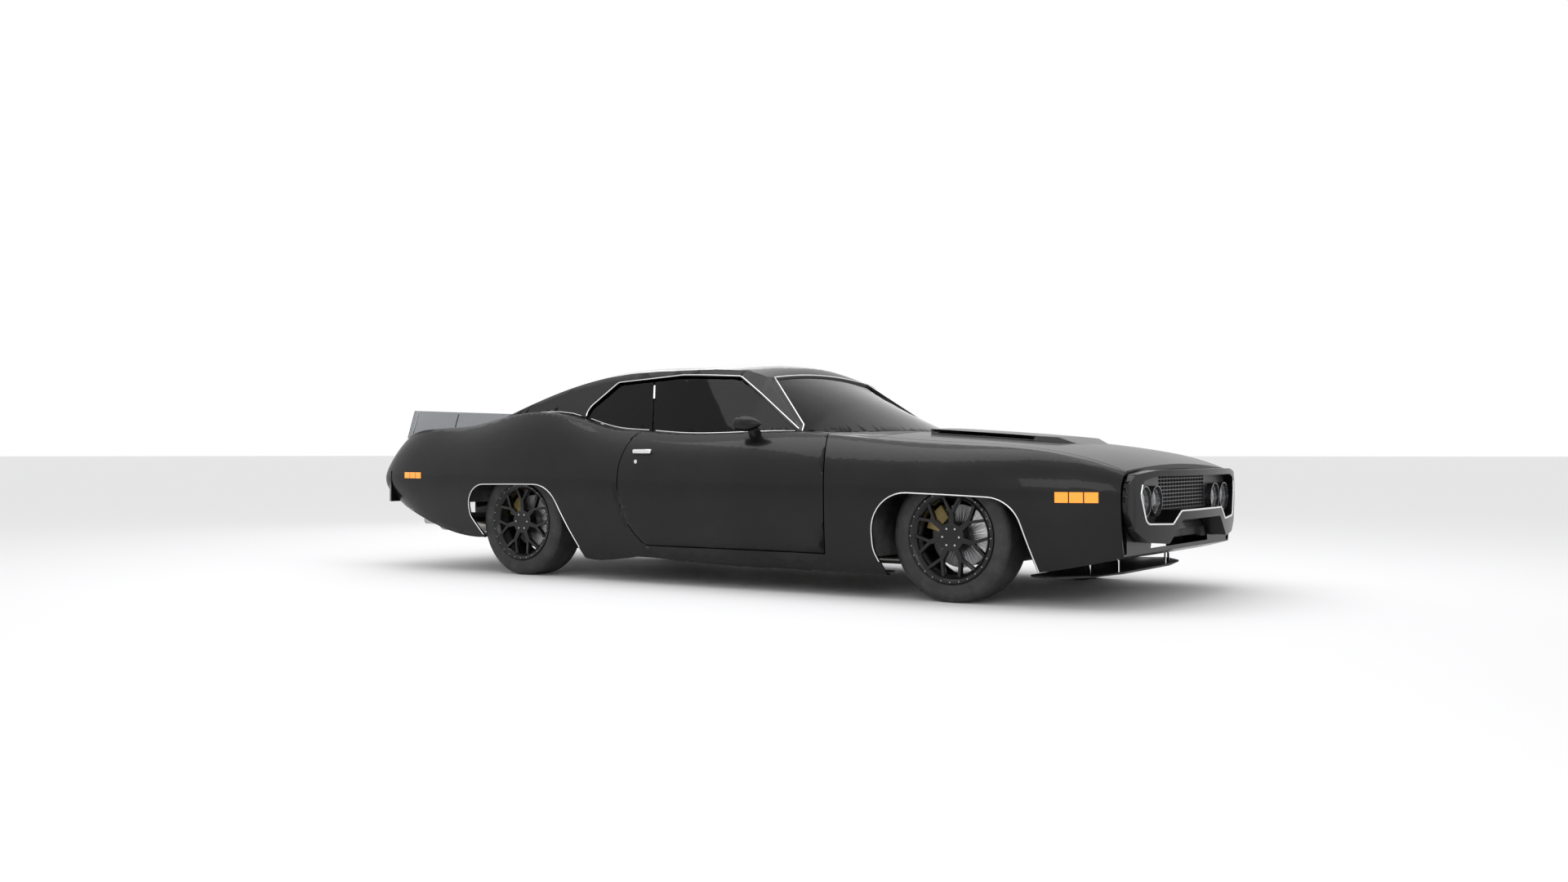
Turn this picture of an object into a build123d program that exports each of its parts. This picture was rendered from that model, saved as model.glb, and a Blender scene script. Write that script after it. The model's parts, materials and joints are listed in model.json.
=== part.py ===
from build123d import *
from collections import namedtuple
from math import cos, radians, sin
import os

# Two-door fastback coupe, lowered, millimetres.
# +X points to the nose, +Y to the left side, +Z up. The origin lies on the
# ground, midway between the front and rear ends, on the centre line.

os.makedirs("parts", exist_ok=True)

# Axles and wheels
REAR_AXLE_X = -1310.5
WHEELBASE = 2921
FRONT_AXLE_X = REAR_AXLE_X + WHEELBASE
TYRE_RADIUS = 324
TYRE_WIDTH = 225
BEAD_RADIUS = 216
LIP_RADIUS = 232
WHEEL_OUTER_Y = 903
WHEEL_Y = WHEEL_OUTER_Y - TYRE_WIDTH / 2
DISC_RADIUS = 157
DISC_INNER_RADIUS = 115
DISC_THICKNESS = 24
DISC_Y = WHEEL_Y - 15
SPOKE_COUNT = 7
HUB_BORE = 34
SPINDLE_CLEARANCE = 0.05
KINGPIN_Y = 700

# Clearances and panel sizes
SHUT_GAP = 7
DOOR_POST_GAP = 15
FIREWALL = 15
FLOOR_Z = 200
FLOOR = 25
TUNNEL_HALF = 130
TUNNEL_TOP_Z = 330
TUNNEL_WALL = 25
PILLAR_INNER_Y = 700
PILLAR_OUTER_Y = 880
PILLAR_STEP_Z = 250
SKIN = 8
LID_THICKNESS = 24
CABIN_HALF = 765
COWL_HALF = 800
HOOD_HALF = 740
BOOT_HALF = 690
GLASS = 6

# Lengthwise seams of the body
HOOD_REAR_X = 1120
DOOR_FRONT_X = 900
A_POST_X = 640
FIREWALL_X = 950
BUMPER_SEAM_X = 2455
BOOT_FRONT_X = -1880
BOOT_REAR_X = -2430
TAIL_SEAM_X = -2442
BULKHEAD_X = -1262
NOSE_X = 2580.5
TAIL_X = -2580.5

# Sections of the lower body from tail to nose: half widths and heights of
# the sill, the widest line and the deck edge, and the crown's height.
Station = namedtuple("Station", "x sill_y sill_z waist_y waist_z edge_y edge_z crown_z")
STATIONS = [Station(*row) for row in (
    (-2550, 800, 470, 885, 575, 800, 676, 706),
    (-2500, 822, 440, 908, 582, 812, 750, 788),
    (-2400, 865, 405, 935, 590, 830, 832, 872),
    (-2000, 900, 268, 975, 600, 850, 893, 935),
    (-1500, 915, 222, 1000, 595, 850, 957, 985),
    (-900, 925, 150, 1002, 585, 838, 938, 955),
    (-450, 930, 143, 1003, 580, 842, 868, 885),
    (100, 930, 133, 1003, 575, 845, 845, 862),
    (850, 930, 128, 1003, 570, 848, 838, 868),
    (1500, 930, 125, 1000, 565, 850, 786, 832),
    (2000, 905, 160, 965, 560, 845, 756, 785),
    (2300, 850, 212, 893, 552, 815, 698, 727),
    (2480, 775, 262, 812, 545, 745, 640, 672),
)]

# Sections of the cabin top: windscreen from its foot to the roof, and the
# roof with its rear slope. Each side face starts at BASE_Z inside the body.
BASE_Z = 640
TopStation = namedtuple("TopStation", "x base_y edge_y edge_z crown_z")
SCREEN_STATIONS = [TopStation(*row) for row in (
    (1050, 930, 880, 700, 845),
    (670, 930, 798, 846, 1021),
    (290, 930, 560, 1160, 1197),
)]
ROOF_STATIONS = [TopStation(*row) for row in (
    (290, 930, 560, 1160, 1197),
    (-300, 930, 548, 1222, 1264),
    (-700, 930, 556, 1215, 1272),
    (-1074, 930, 590, 1162, 1240),
    (-1420, 930, 665, 1049, 1130),
    (-1600, 930, 716, 972, 1050),
    (-1800, 930, 776, 880, 950),
)]


def block(x0, x1, y0, y1, z0, z1):
    """Box between two corners."""
    with BuildPart(mode=Mode.PRIVATE) as box:
        with BuildSketch(Plane.XY.offset(z0)):
            with Locations(((x0 + x1) / 2, (y0 + y1) / 2)):
                Rectangle(abs(x1 - x0), abs(y1 - y0))
        extrude(amount=z1 - z0)
    return box.part


def side_prism(points, y0, y1, radii=None):
    """Side-view outline of (x, z) points, extruded from y0 to y1."""
    with BuildPart(mode=Mode.PRIVATE) as prism:
        with BuildSketch(Plane.XZ.offset(-y0)):
            with BuildLine():
                if radii:
                    FilletPolyline(*points, radius=radii, close=True)
                else:
                    Polyline(*points, close=True)
            make_face()
        extrude(amount=y0 - y1)
    return prism.part


def plan_prism(points, z0, z1, radii=None):
    """Plan outline of (x, y) points, extruded from z0 to z1."""
    with BuildPart(mode=Mode.PRIVATE) as prism:
        with BuildSketch(Plane.XY.offset(z0)):
            with BuildLine():
                if radii:
                    FilletPolyline(*points, radius=radii, close=True)
                else:
                    Polyline(*points, close=True)
            make_face()
        extrude(amount=z1 - z0)
    return prism.part


def front_prism(points, x0, x1, radii=None):
    """Front-view outline of (y, z) points, extruded from x0 to x1."""
    with BuildPart(mode=Mode.PRIVATE) as prism:
        with BuildSketch(Plane.YZ.offset(x0)):
            with BuildLine():
                if radii:
                    FilletPolyline(*points, radius=radii, close=True)
                else:
                    Polyline(*points, close=True)
            make_face()
        extrude(amount=x1 - x0)
    return prism.part


def tube_along_y(x, z, y0, y1, radius):
    """Round bar across the car."""
    with BuildPart(mode=Mode.PRIVATE) as bar:
        with BuildSketch(Plane.XZ.offset(-y0)):
            with Locations((x, z)):
                Circle(radius)
        extrude(amount=y0 - y1)
    return bar.part


def both_sides_up(points):
    """Front-view outline points of the +Y half, closed by their mirror images."""
    return points + [(-y, z) for y, z in reversed(points)]


def both_sides(points):
    """Outline points of the +Y half, closed by their mirror images."""
    return points + [(x, -y) for x, y in reversed(points)]


def save(part, name):
    part.label = name
    export_step(part, f"parts/{name}.step")


def save_pair(part, name):
    """Write the left piece and its mirror image for the right."""
    save(part, f"{name}_left")
    save(mirror(part, about=Plane.XZ), f"{name}_right")


def body_form(inset=0.0, drop=0.0):
    """Closed form of the lower body, drawn in by inset and lowered by drop."""
    with BuildPart(mode=Mode.PRIVATE) as form:
        for s in STATIONS:
            sill = (s.sill_y - inset, s.sill_z + inset - drop)
            waist = (s.waist_y - inset, s.waist_z - drop)
            edge = (s.edge_y - inset, s.edge_z - inset - drop)
            crown = (0, s.crown_z - inset - drop)
            with BuildSketch(Plane.YZ.offset(s.x)):
                with BuildLine():
                    Line((-sill[0], sill[1]), sill)
                    TangentArc(waist, sill, tangent=(0, -1))
                    TangentArc(waist, edge, tangent=(0, 1))
                    ThreePointArc(edge, crown, (-edge[0], edge[1]))
                    TangentArc((-waist[0], waist[1]), (-edge[0], edge[1]), tangent=(0, 1))
                    TangentArc((-waist[0], waist[1]), (-sill[0], sill[1]), tangent=(0, -1))
                make_face()
        loft()
    return form.part


def top_section(s, inset):
    """Section of the cabin top at one station, drawn in by inset."""
    base = (s.base_y - inset, BASE_Z)
    edge = (s.edge_y - inset, s.edge_z - inset)
    with BuildSketch(Plane.YZ.offset(s.x)) as section:
        with BuildLine():
            Line((-base[0], base[1]), base)
            Line(base, edge)
            ThreePointArc(edge, (0, s.crown_z - inset), (-edge[0], edge[1]))
            Line((-edge[0], edge[1]), (-base[0], base[1]))
        make_face()
    return section.sketch.face()


def cabin_top(inset=0.0):
    """Closed form of the windscreen, roof and rear slope."""
    with BuildPart(mode=Mode.PRIVATE) as form:
        loft(sections=[top_section(s, inset) for s in SCREEN_STATIONS], ruled=True)
        loft(sections=[top_section(s, inset) for s in ROOF_STATIONS])
    return form.part


hull = body_form()
hull_inner = body_form(inset=SKIN)
hull_lowered = body_form(drop=LID_THICKNESS)
top_outer = cabin_top()
top_plate = hull - hull_lowered
skin = hull - hull_inner
ROOF_THICKNESS = 30
top_inner = cabin_top(inset=ROOF_THICKNESS)

# Wheel openings, as (along the axle, height) from each axle's own x
FRONT_ARCH = [(-305, 60), (-396, 250), (-392, 544), (357, 517), (498, 60)]
FRONT_ARCH_RADII = [1, 150, 200, 170, 1]
REAR_ARCH = [(-200, 60), (-374, 352), (-368, 543), (319, 549), (568, 60)]
REAR_ARCH_RADII = [1, 60, 150, 190, 1]
WHEELHOUSE_TOP = 700
FRONT_HOUSE_INNER = 520
REAR_HOUSE_INNER = 640
FRONT_HOUSE = [(-400, 60), (-420, WHEELHOUSE_TOP), (425, WHEELHOUSE_TOP), (430, 60)]
REAR_HOUSE = [(-360, 60), (-380, WHEELHOUSE_TOP), (380, WHEELHOUSE_TOP), (370, 60)]
HOUSE_RADII = [1, 200, 200, 1]


TUB_WALL = 6
FRONT_TUB_BOTTOM_Z = 215
REAR_TUB_BOTTOM_Z = 436
WHEEL_WELL_Y = 899


def arch(points, radii, axle_x, y0, y1, grow=0):
    """Wheel opening or wheelhouse outline, extruded across the car."""
    with BuildPart(mode=Mode.PRIVATE) as prism:
        with BuildSketch(Plane.XZ.offset(-y0)):
            with BuildLine():
                FilletPolyline(*[(axle_x + x, z) for x, z in points], radius=radii, close=True)
            make_face()
            if grow:
                offset(amount=grow)
        extrude(amount=y0 - y1)
    return prism.part


def wheel_space(house, opening, radii, axle_x, inner_y):
    """Room for a left wheel and its tub, kept inside the skin but for the opening."""
    with BuildPart(mode=Mode.PRIVATE) as space:
        add(hull_inner)
        add(arch(house, HOUSE_RADII, axle_x, inner_y - TUB_WALL, 1100, TUB_WALL),
            mode=Mode.INTERSECT)
        add(arch(opening, radii, axle_x, inner_y, 1100))
        add(block(axle_x + house[0][0], axle_x + house[-1][0], inner_y, WHEEL_WELL_Y,
                  house[0][1], TYRE_RADIUS))
    return space.part


def wheel_tub(house, opening, radii, axle_x, inner_y, bottom_z):
    """Sheet tub over a left wheel, closed inboard and open at its bottom."""
    with BuildPart(mode=Mode.PRIVATE) as tub:
        add(hull_inner)
        add(arch(house, HOUSE_RADII, axle_x, inner_y - TUB_WALL, 1100, TUB_WALL),
            mode=Mode.INTERSECT)
        add(arch(house, HOUSE_RADII, axle_x, inner_y, 1100), mode=Mode.SUBTRACT)
        add(arch(opening, radii, axle_x, inner_y, 1100), mode=Mode.SUBTRACT)
        add(block(axle_x - 600, axle_x + 600, 0, 1100, bottom_z, 900), mode=Mode.INTERSECT)
    return tub.part


front_space = wheel_space(FRONT_HOUSE, FRONT_ARCH, FRONT_ARCH_RADII, FRONT_AXLE_X,
                          FRONT_HOUSE_INNER)
rear_space = wheel_space(REAR_HOUSE, REAR_ARCH, REAR_ARCH_RADII, REAR_AXLE_X,
                         REAR_HOUSE_INNER)
front_tub = wheel_tub(FRONT_HOUSE, FRONT_ARCH, FRONT_ARCH_RADII, FRONT_AXLE_X,
                      FRONT_HOUSE_INNER, FRONT_TUB_BOTTOM_Z)
rear_tub = wheel_tub(REAR_HOUSE, REAR_ARCH, REAR_ARCH_RADII, REAR_AXLE_X,
                     REAR_HOUSE_INNER, REAR_TUB_BOTTOM_Z)

# Door: its front shut line slants forward going outboard, its rear shut line
# is an arc, and every edge draws in towards the cabin to clear the jambs.
DOOR_ARC_X = -47
DOOR_ARC_Z = 540
DOOR_ARC_RADIUS = 411
DOOR_BOTTOM_Z = 213
DOOR_SILL_Y = 930
DOOR_FRONT_SLANT = 0.45
DOOR_DRAW_IN = 75
DOOR_INNER_Y = 760
DOOR_OUTER_Y = 1030
DOOR_TOP_Z = 1000


def front_seam(y):
    """Lengthwise place of the door's front edge at half width y."""
    return DOOR_FRONT_X + DOOR_FRONT_SLANT * (y - DOOR_SILL_Y)


def door_outline(y, inward, grow):
    """Door outline on the plane at y, its rear drawn in and all of it grown."""
    radius = DOOR_ARC_RADIUS - inward + grow
    front = front_seam(y) + grow
    bottom = DOOR_BOTTOM_Z + inward / 2 - grow
    rise = DOOR_ARC_Z - bottom
    reach = (radius ** 2 - rise ** 2) ** 0.5
    back = DOOR_ARC_X - radius
    middle = (DOOR_ARC_X - radius * cos(radians(30)), DOOR_ARC_Z - radius * sin(radians(30)))
    with BuildSketch(Plane.XZ.offset(-y)) as outline:
        with BuildLine():
            Polyline((DOOR_ARC_X - reach, bottom), (front, bottom), (front, DOOR_TOP_Z),
                     (back, DOOR_TOP_Z), (back, DOOR_ARC_Z))
            ThreePointArc((back, DOOR_ARC_Z), middle, (DOOR_ARC_X - reach, bottom))
        make_face()
    return outline.sketch.face()


def door_space(grow=0.0):
    """Wedge of the body that the left door fills, grown by its shut gap."""
    inner = door_outline(DOOR_INNER_Y, DOOR_DRAW_IN, grow)
    outer = door_outline(DOOR_OUTER_Y, 0, grow)
    with BuildPart(mode=Mode.PRIVATE) as space:
        loft(sections=[inner, outer], ruled=True)
    return space.part


door_form = door_space()
door_opening = door_space(grow=SHUT_GAP)

# Side window opening in the cabin top, and where its two panes meet
SIDE_WINDOW = [(672, 780), (666, 835), (92, 1172), (-320, 1190), (-790, 1162),
               (-942, 1005), (-915, 780)]
SIDE_WINDOW_RADII = [1, 1, 70, 300, 40, 70, 1]
PANE_SPLIT = [(-348, 800), (-562, 1230)]
PANE_GAP = 8
PANE_INSET = 10
SCREEN_HEADER_X = 300
SCREEN_OUTLINE = both_sides([(SCREEN_HEADER_X, 515), (640, 735), (700, 1000), (1120, 1000)])
BACKLIGHT_OUTLINE = both_sides([(-1120, 470), (-1500, 560), (-1790, 640)])


def side_window(shrink, y0, y1):
    """Side window outline, drawn in by shrink and extruded."""
    with BuildPart(mode=Mode.PRIVATE) as prism:
        with BuildSketch(Plane.XZ.offset(-y0)):
            with BuildLine():
                FilletPolyline(*SIDE_WINDOW, radius=SIDE_WINDOW_RADII, close=True)
            make_face()
            if shrink:
                offset(amount=-shrink)
        extrude(amount=y0 - y1)
    return prism.part


window_both = side_window(0, -1000, 1000)
screen_prism = plan_prism(SCREEN_OUTLINE, 700, 1400)
backlight_prism = plan_prism(BACKLIGHT_OUTLINE, 700, 1400)

# Roof with its pillars
with BuildPart() as roof:
    add(top_outer)
    add(top_inner, mode=Mode.SUBTRACT)
    add(hull, mode=Mode.SUBTRACT)
    add(window_both, mode=Mode.SUBTRACT)
    add(screen_prism, mode=Mode.SUBTRACT)
    add(backlight_prism, mode=Mode.SUBTRACT)
save(roof.part, "roof")

# Glass: thin layers of the cabin top, cut by the same outlines
pane_outer = cabin_top(inset=PANE_INSET)
pane_inner = cabin_top(inset=PANE_INSET + GLASS)
with BuildPart(mode=Mode.PRIVATE) as panes:
    add(pane_outer)
    add(pane_inner, mode=Mode.SUBTRACT)
    add(hull, mode=Mode.SUBTRACT)

with BuildPart() as windscreen:
    add(panes.part)
    add(screen_prism, mode=Mode.INTERSECT)
save(windscreen.part, "windscreen")

with BuildPart() as rear_glass:
    add(panes.part)
    add(backlight_prism, mode=Mode.INTERSECT)
save(rear_glass.part, "rear_glass")

with BuildPart() as door_glass:
    add(panes.part)
    add(side_window(SHUT_GAP, 300, 1000), mode=Mode.INTERSECT)
    add(side_prism([PANE_SPLIT[0], PANE_SPLIT[1], (1000, 1230), (1000, 800)], 300, 1000),
        mode=Mode.INTERSECT)
save_pair(door_glass.part, "door_glass")

with BuildPart() as quarter_glass:
    add(panes.part)
    add(side_window(0, 300, 1000), mode=Mode.INTERSECT)
    add(side_prism([(PANE_SPLIT[0][0] - PANE_GAP, 800), (PANE_SPLIT[1][0] - PANE_GAP, 1230),
                    (-1100, 1230), (-1100, 800)], 300, 1000),
        mode=Mode.INTERSECT)
    mirror(about=Plane.XZ)
save(quarter_glass.part, "quarter_glass")

# Door hinges: a goose-neck arm on the door turns on a pin held from the pillar
DOOR_HINGE_AHEAD = 60
DOOR_HINGE_DEPTH = 36
WAIST_Y = 1003
DOOR_AXIS_X = front_seam(WAIST_Y) + DOOR_HINGE_AHEAD
DOOR_AXIS_Y = WAIST_Y - DOOR_HINGE_DEPTH
DOOR_HINGE_ZS = (390, 640)
HINGE_PLATE = 10
HINGE_PIN_RADIUS = 4
HINGE_EYE_RADIUS = 8
HINGE_STEP = 1
PIN_CLEARANCE = 0.05
ARM_WIDTH = 14
DOOR_ARM = [(0, 0), (10, 40), (40, 72), (116, 72)]


def door_arm(z):
    """Goose-neck arm of a left door hinge at height z."""
    axis = (DOOR_AXIS_X, DOOR_AXIS_Y)
    with BuildPart(mode=Mode.PRIVATE) as arm:
        with BuildSketch(Plane.XY.offset(z - HINGE_PLATE / 2)):
            with BuildLine():
                Polyline(*[(axis[0] - back, axis[1] - inward) for back, inward in DOOR_ARM])
            trace(line_width=ARM_WIDTH)
            with Locations(axis):
                Circle(HINGE_EYE_RADIUS)
                Circle(HINGE_PIN_RADIUS + PIN_CLEARANCE, mode=Mode.SUBTRACT)
        extrude(amount=HINGE_PLATE)
    return arm.part


def door_ear(side, z):
    """Plate and pin that hold a door's arm at height z from the hinge pillar."""
    top = z - HINGE_PLATE / 2 - HINGE_STEP
    pillar_y = PILLAR_OUTER_Y - 10
    with BuildPart(mode=Mode.PRIVATE) as ear:
        with BuildSketch(Plane.XY.offset(top - HINGE_PLATE)):
            with BuildLine():
                Polyline((FIREWALL_X - 25, side * pillar_y), (FIREWALL_X + FIREWALL, side * pillar_y),
                         (DOOR_AXIS_X + HINGE_EYE_RADIUS, side * DOOR_AXIS_Y),
                         (DOOR_AXIS_X - HINGE_EYE_RADIUS, side * DOOR_AXIS_Y), close=True)
            make_face()
            with Locations((DOOR_AXIS_X, side * DOOR_AXIS_Y)):
                Circle(HINGE_EYE_RADIUS)
        extrude(amount=HINGE_PLATE)
        with BuildSketch(Plane.XY.offset(top)):
            with Locations((DOOR_AXIS_X, side * DOOR_AXIS_Y)):
                Circle(HINGE_PIN_RADIUS)
        extrude(amount=HINGE_STEP + HINGE_PLATE)
    return ear.part


# Doors
with BuildPart() as door:
    add(hull)
    add(door_form, mode=Mode.INTERSECT)
    add(block(-1000, 1200, 0, CABIN_HALF, 0, 1400), mode=Mode.SUBTRACT)
    add(block(A_POST_X - DOOR_POST_GAP, 1200, 0, COWL_HALF + SHUT_GAP, 0, 1400),
        mode=Mode.SUBTRACT)
    for hinge_z in DOOR_HINGE_ZS:
        add(door_arm(hinge_z))
save_pair(door.part, "door")

# Lids: their hinged edges slant, so that they clear the panel behind them
HOOD_SLANT = 0.9
BOOT_SLANT = 0.45
HOOD_EDGE_Z = 838
BOOT_EDGE_Z = 935


def lid_edge(x, z, slant, gap=0):
    """High and low (x, z) ends of a lid's slanting hinged edge through (x, z)."""
    return (x + gap + slant * (z - 1200), 1200), (x + gap + slant * (z - 500), 500)


hood_edge = lid_edge(HOOD_REAR_X, HOOD_EDGE_Z, HOOD_SLANT)
cowl_edge = lid_edge(HOOD_REAR_X, HOOD_EDGE_Z, HOOD_SLANT, -SHUT_GAP)
boot_edge = lid_edge(BOOT_FRONT_X, BOOT_EDGE_Z, -BOOT_SLANT)
deck_edge = lid_edge(BOOT_FRONT_X, BOOT_EDGE_Z, -BOOT_SLANT, SHUT_GAP)

# Front fenders: shells from the door seam to the bumper seam
fender_rear = [(front_seam(COWL_HALF) + SHUT_GAP, COWL_HALF), (front_seam(1100) + SHUT_GAP, 1100)]
with BuildPart() as fender:
    add(skin)
    add(plan_prism([fender_rear[0], (HOOD_REAR_X - SHUT_GAP, COWL_HALF),
                    (HOOD_REAR_X - SHUT_GAP, HOOD_HALF + SHUT_GAP),
                    (BUMPER_SEAM_X, HOOD_HALF + SHUT_GAP), (BUMPER_SEAM_X, 1100),
                    fender_rear[1]], 0, 1200), mode=Mode.INTERSECT)
    add(front_space, mode=Mode.SUBTRACT)
    add(side_prism([(A_POST_X, 1200), hood_edge[0], hood_edge[1], (A_POST_X, 500)],
                   -COWL_HALF, COWL_HALF), mode=Mode.SUBTRACT)
save_pair(fender.part, "front_fender")

# Quarter panels with the rocker under the door: solid beside the cabin, a
# shell beside the boot
with BuildPart(mode=Mode.PRIVATE) as boot_side_form:
    add(hull_inner)
    add(block(TAIL_SEAM_X - 1, BULKHEAD_X, 600, 1100, 0, 1200), mode=Mode.INTERSECT)
boot_side = boot_side_form.part

with BuildPart() as quarter:
    add(hull)
    add(plan_prism([(TAIL_SEAM_X, BOOT_HALF + SHUT_GAP), (BULKHEAD_X, BOOT_HALF + SHUT_GAP),
                    (BULKHEAD_X, CABIN_HALF), (front_seam(CABIN_HALF) + SHUT_GAP, CABIN_HALF),
                    (front_seam(1100) + SHUT_GAP, 1100), (TAIL_SEAM_X, 1100)], 0, 1200),
        mode=Mode.INTERSECT)
    add(door_opening, mode=Mode.SUBTRACT)
    add(block(0, 1200, 0, 1100, 300, 1200), mode=Mode.SUBTRACT)
    add(rear_space, mode=Mode.SUBTRACT)
    add(boot_side, mode=Mode.SUBTRACT)
save_pair(quarter.part, "quarter_panel")

# Lid hinges: each lid hangs on two goose-neck arms
LID_HINGE_BEYOND = 60
LID_HINGE_DEPTH = 36
HOOD_AXIS = (HOOD_REAR_X - LID_HINGE_BEYOND, HOOD_EDGE_Z - LID_HINGE_DEPTH)
BOOT_AXIS = (BOOT_FRONT_X + LID_HINGE_BEYOND, BOOT_EDGE_Z - LID_HINGE_DEPTH)
HOOD_HINGE_YS = (-600, 600)
BOOT_HINGE_YS = (-520, 520)
LID_ARM = [(0, 0), (-5, -34), (20, -68), (78, -68), (103, -22)]
ARM_POCKET_X = (16, 95)
ARM_POCKET_HALF = 10
HOOD_ARM_RISE = 14
BOOT_ARM_RISE = 9


def lid_arm(axis, way, y, rise):
    """Goose-neck arm under a lid: way is +1 where the lid lies towards the nose."""
    bends = LID_ARM + [(LID_ARM[-1][0], rise)]
    with BuildPart(mode=Mode.PRIVATE) as arm:
        with BuildSketch(Plane.XZ.offset(-y + HINGE_PLATE / 2)):
            with BuildLine():
                Polyline(*[(axis[0] + way * along, axis[1] + up) for along, up in bends])
            trace(line_width=ARM_WIDTH)
            with Locations(axis):
                Circle(HINGE_EYE_RADIUS)
                Circle(HINGE_PIN_RADIUS + PIN_CLEARANCE, mode=Mode.SUBTRACT)
        extrude(amount=-HINGE_PLATE)
    return arm.part


def hinge_pocket(axis, way, y):
    """Room under a fixed panel for a lid's arm, up to just over its eye."""
    return block(axis[0] - way * ARM_POCKET_X[0], axis[0] + way * ARM_POCKET_X[1],
                 y - ARM_POCKET_HALF, y + ARM_POCKET_HALF, axis[1] - 100,
                 axis[1] + HINGE_EYE_RADIUS + HINGE_STEP * 4)


def lid_bracket(axis, foot_x, foot_z, y):
    """Plate beside a lid's arm, with the pin that carries the arm's eye."""
    side = 1 if y > 0 else -1
    near = y - side * (HINGE_PLATE / 2 + HINGE_STEP)
    far = near - side * HINGE_PLATE
    with BuildPart(mode=Mode.PRIVATE) as bracket:
        with BuildSketch(Plane.XZ.offset(-min(near, far))):
            with BuildLine():
                Polyline((foot_x[0], foot_z), (foot_x[1], foot_z), (axis[0] + 7, axis[1] - 6),
                         (axis[0] + 7, axis[1] + 7), (axis[0] - 7, axis[1] + 7), close=True)
            make_face()
        extrude(amount=-HINGE_PLATE)
        add(tube_along_y(axis[0], axis[1], min(near, y + side * HINGE_PLATE / 2),
                         max(near, y + side * HINGE_PLATE / 2), HINGE_PIN_RADIUS))
    return bracket.part


# Hood: a plate of the body's top with a raised middle, open at its sides
BULGE_RISE = 24
VENT_DEPTH = 30
BULGE = [(1195, 350), (1820, 335), (1990, 215)]
BULGE_FRONT_SLOPE = [(2700, 500), (950, 1200), (2700, 1200)]
VENT = (1250, 1800)
hull_raised = body_form(drop=-BULGE_RISE)
hood_plan = block(900, BUMPER_SEAM_X - SHUT_GAP, -HOOD_HALF, HOOD_HALF, 0, 1200)
with BuildPart(mode=Mode.PRIVATE) as bulge:
    add(hull_raised)
    add(hull_lowered, mode=Mode.SUBTRACT)
    add(plan_prism(both_sides(BULGE), 500, 1200), mode=Mode.INTERSECT)
    add(side_prism([(1100, 500), (1100, 1200), (1175, 1200), (1240, 500)], -500, 500),
        mode=Mode.SUBTRACT)
    add(side_prism(BULGE_FRONT_SLOPE, -500, 500), mode=Mode.SUBTRACT)
with BuildPart(mode=Mode.PRIVATE) as vents:
    add(body_form(drop=4 - BULGE_RISE))
    add(body_form(drop=-4), mode=Mode.SUBTRACT)
    add(block(VENT[0], VENT[1], BULGE[1][1] - VENT_DEPTH, 400, 0, 1200), mode=Mode.INTERSECT)
    mirror(about=Plane.XZ)
with BuildPart() as hood:
    add(top_plate)
    add(hood_plan, mode=Mode.INTERSECT)
    add(bulge.part)
    add(side_prism([hood_edge[0], hood_edge[1], (2600, 500), (2600, 1200)], -900, 900),
        mode=Mode.INTERSECT)
    add(vents.part, mode=Mode.SUBTRACT)
    for hinge_y in HOOD_HINGE_YS:
        add(lid_arm(HOOD_AXIS, 1, hinge_y, HOOD_ARM_RISE))
save(hood.part, "hood")

# Boot lid
with BuildPart() as boot_lid:
    add(top_plate)
    add(block(BOOT_REAR_X, -1700, -BOOT_HALF, BOOT_HALF, 600, 1200), mode=Mode.INTERSECT)
    add(side_prism([boot_edge[0], boot_edge[1], (-2700, 500), (-2700, 1200)], -900, 900),
        mode=Mode.INTERSECT)
    for hinge_y in BOOT_HINGE_YS:
        add(lid_arm(BOOT_AXIS, -1, hinge_y, BOOT_ARM_RISE))
save(boot_lid.part, "boot_lid")

# Cowl: panel between hood and windscreen, firewall, and the hinge pillars
with BuildPart(mode=Mode.PRIVATE) as pillar_jamb:
    add(door_opening)
    add(block(0, 1200, COWL_HALF, 1100, 0, 1200), mode=Mode.INTERSECT)
with BuildPart(mode=Mode.PRIVATE) as side_walls:
    for side in (-1, 1):
        add(block(A_POST_X, FIREWALL_X + FIREWALL, side * CABIN_HALF,
                  side * PILLAR_OUTER_Y, PILLAR_STEP_Z, 1200))
    add(hull_lowered, mode=Mode.INTERSECT)
    add(pillar_jamb.part, mode=Mode.SUBTRACT)
    add(mirror(pillar_jamb.part, about=Plane.XZ), mode=Mode.SUBTRACT)
with BuildPart(mode=Mode.PRIVATE) as post_walls:
    for side in (-1, 1):
        add(block(A_POST_X, FIREWALL_X + FIREWALL, side * PILLAR_INNER_Y,
                  side * CABIN_HALF, FLOOR_Z, 1200))
        add(block(A_POST_X, FIREWALL_X, side * CABIN_HALF, side * COWL_HALF,
                  PILLAR_STEP_Z, 1200))
    add(hull, mode=Mode.INTERSECT)
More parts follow.
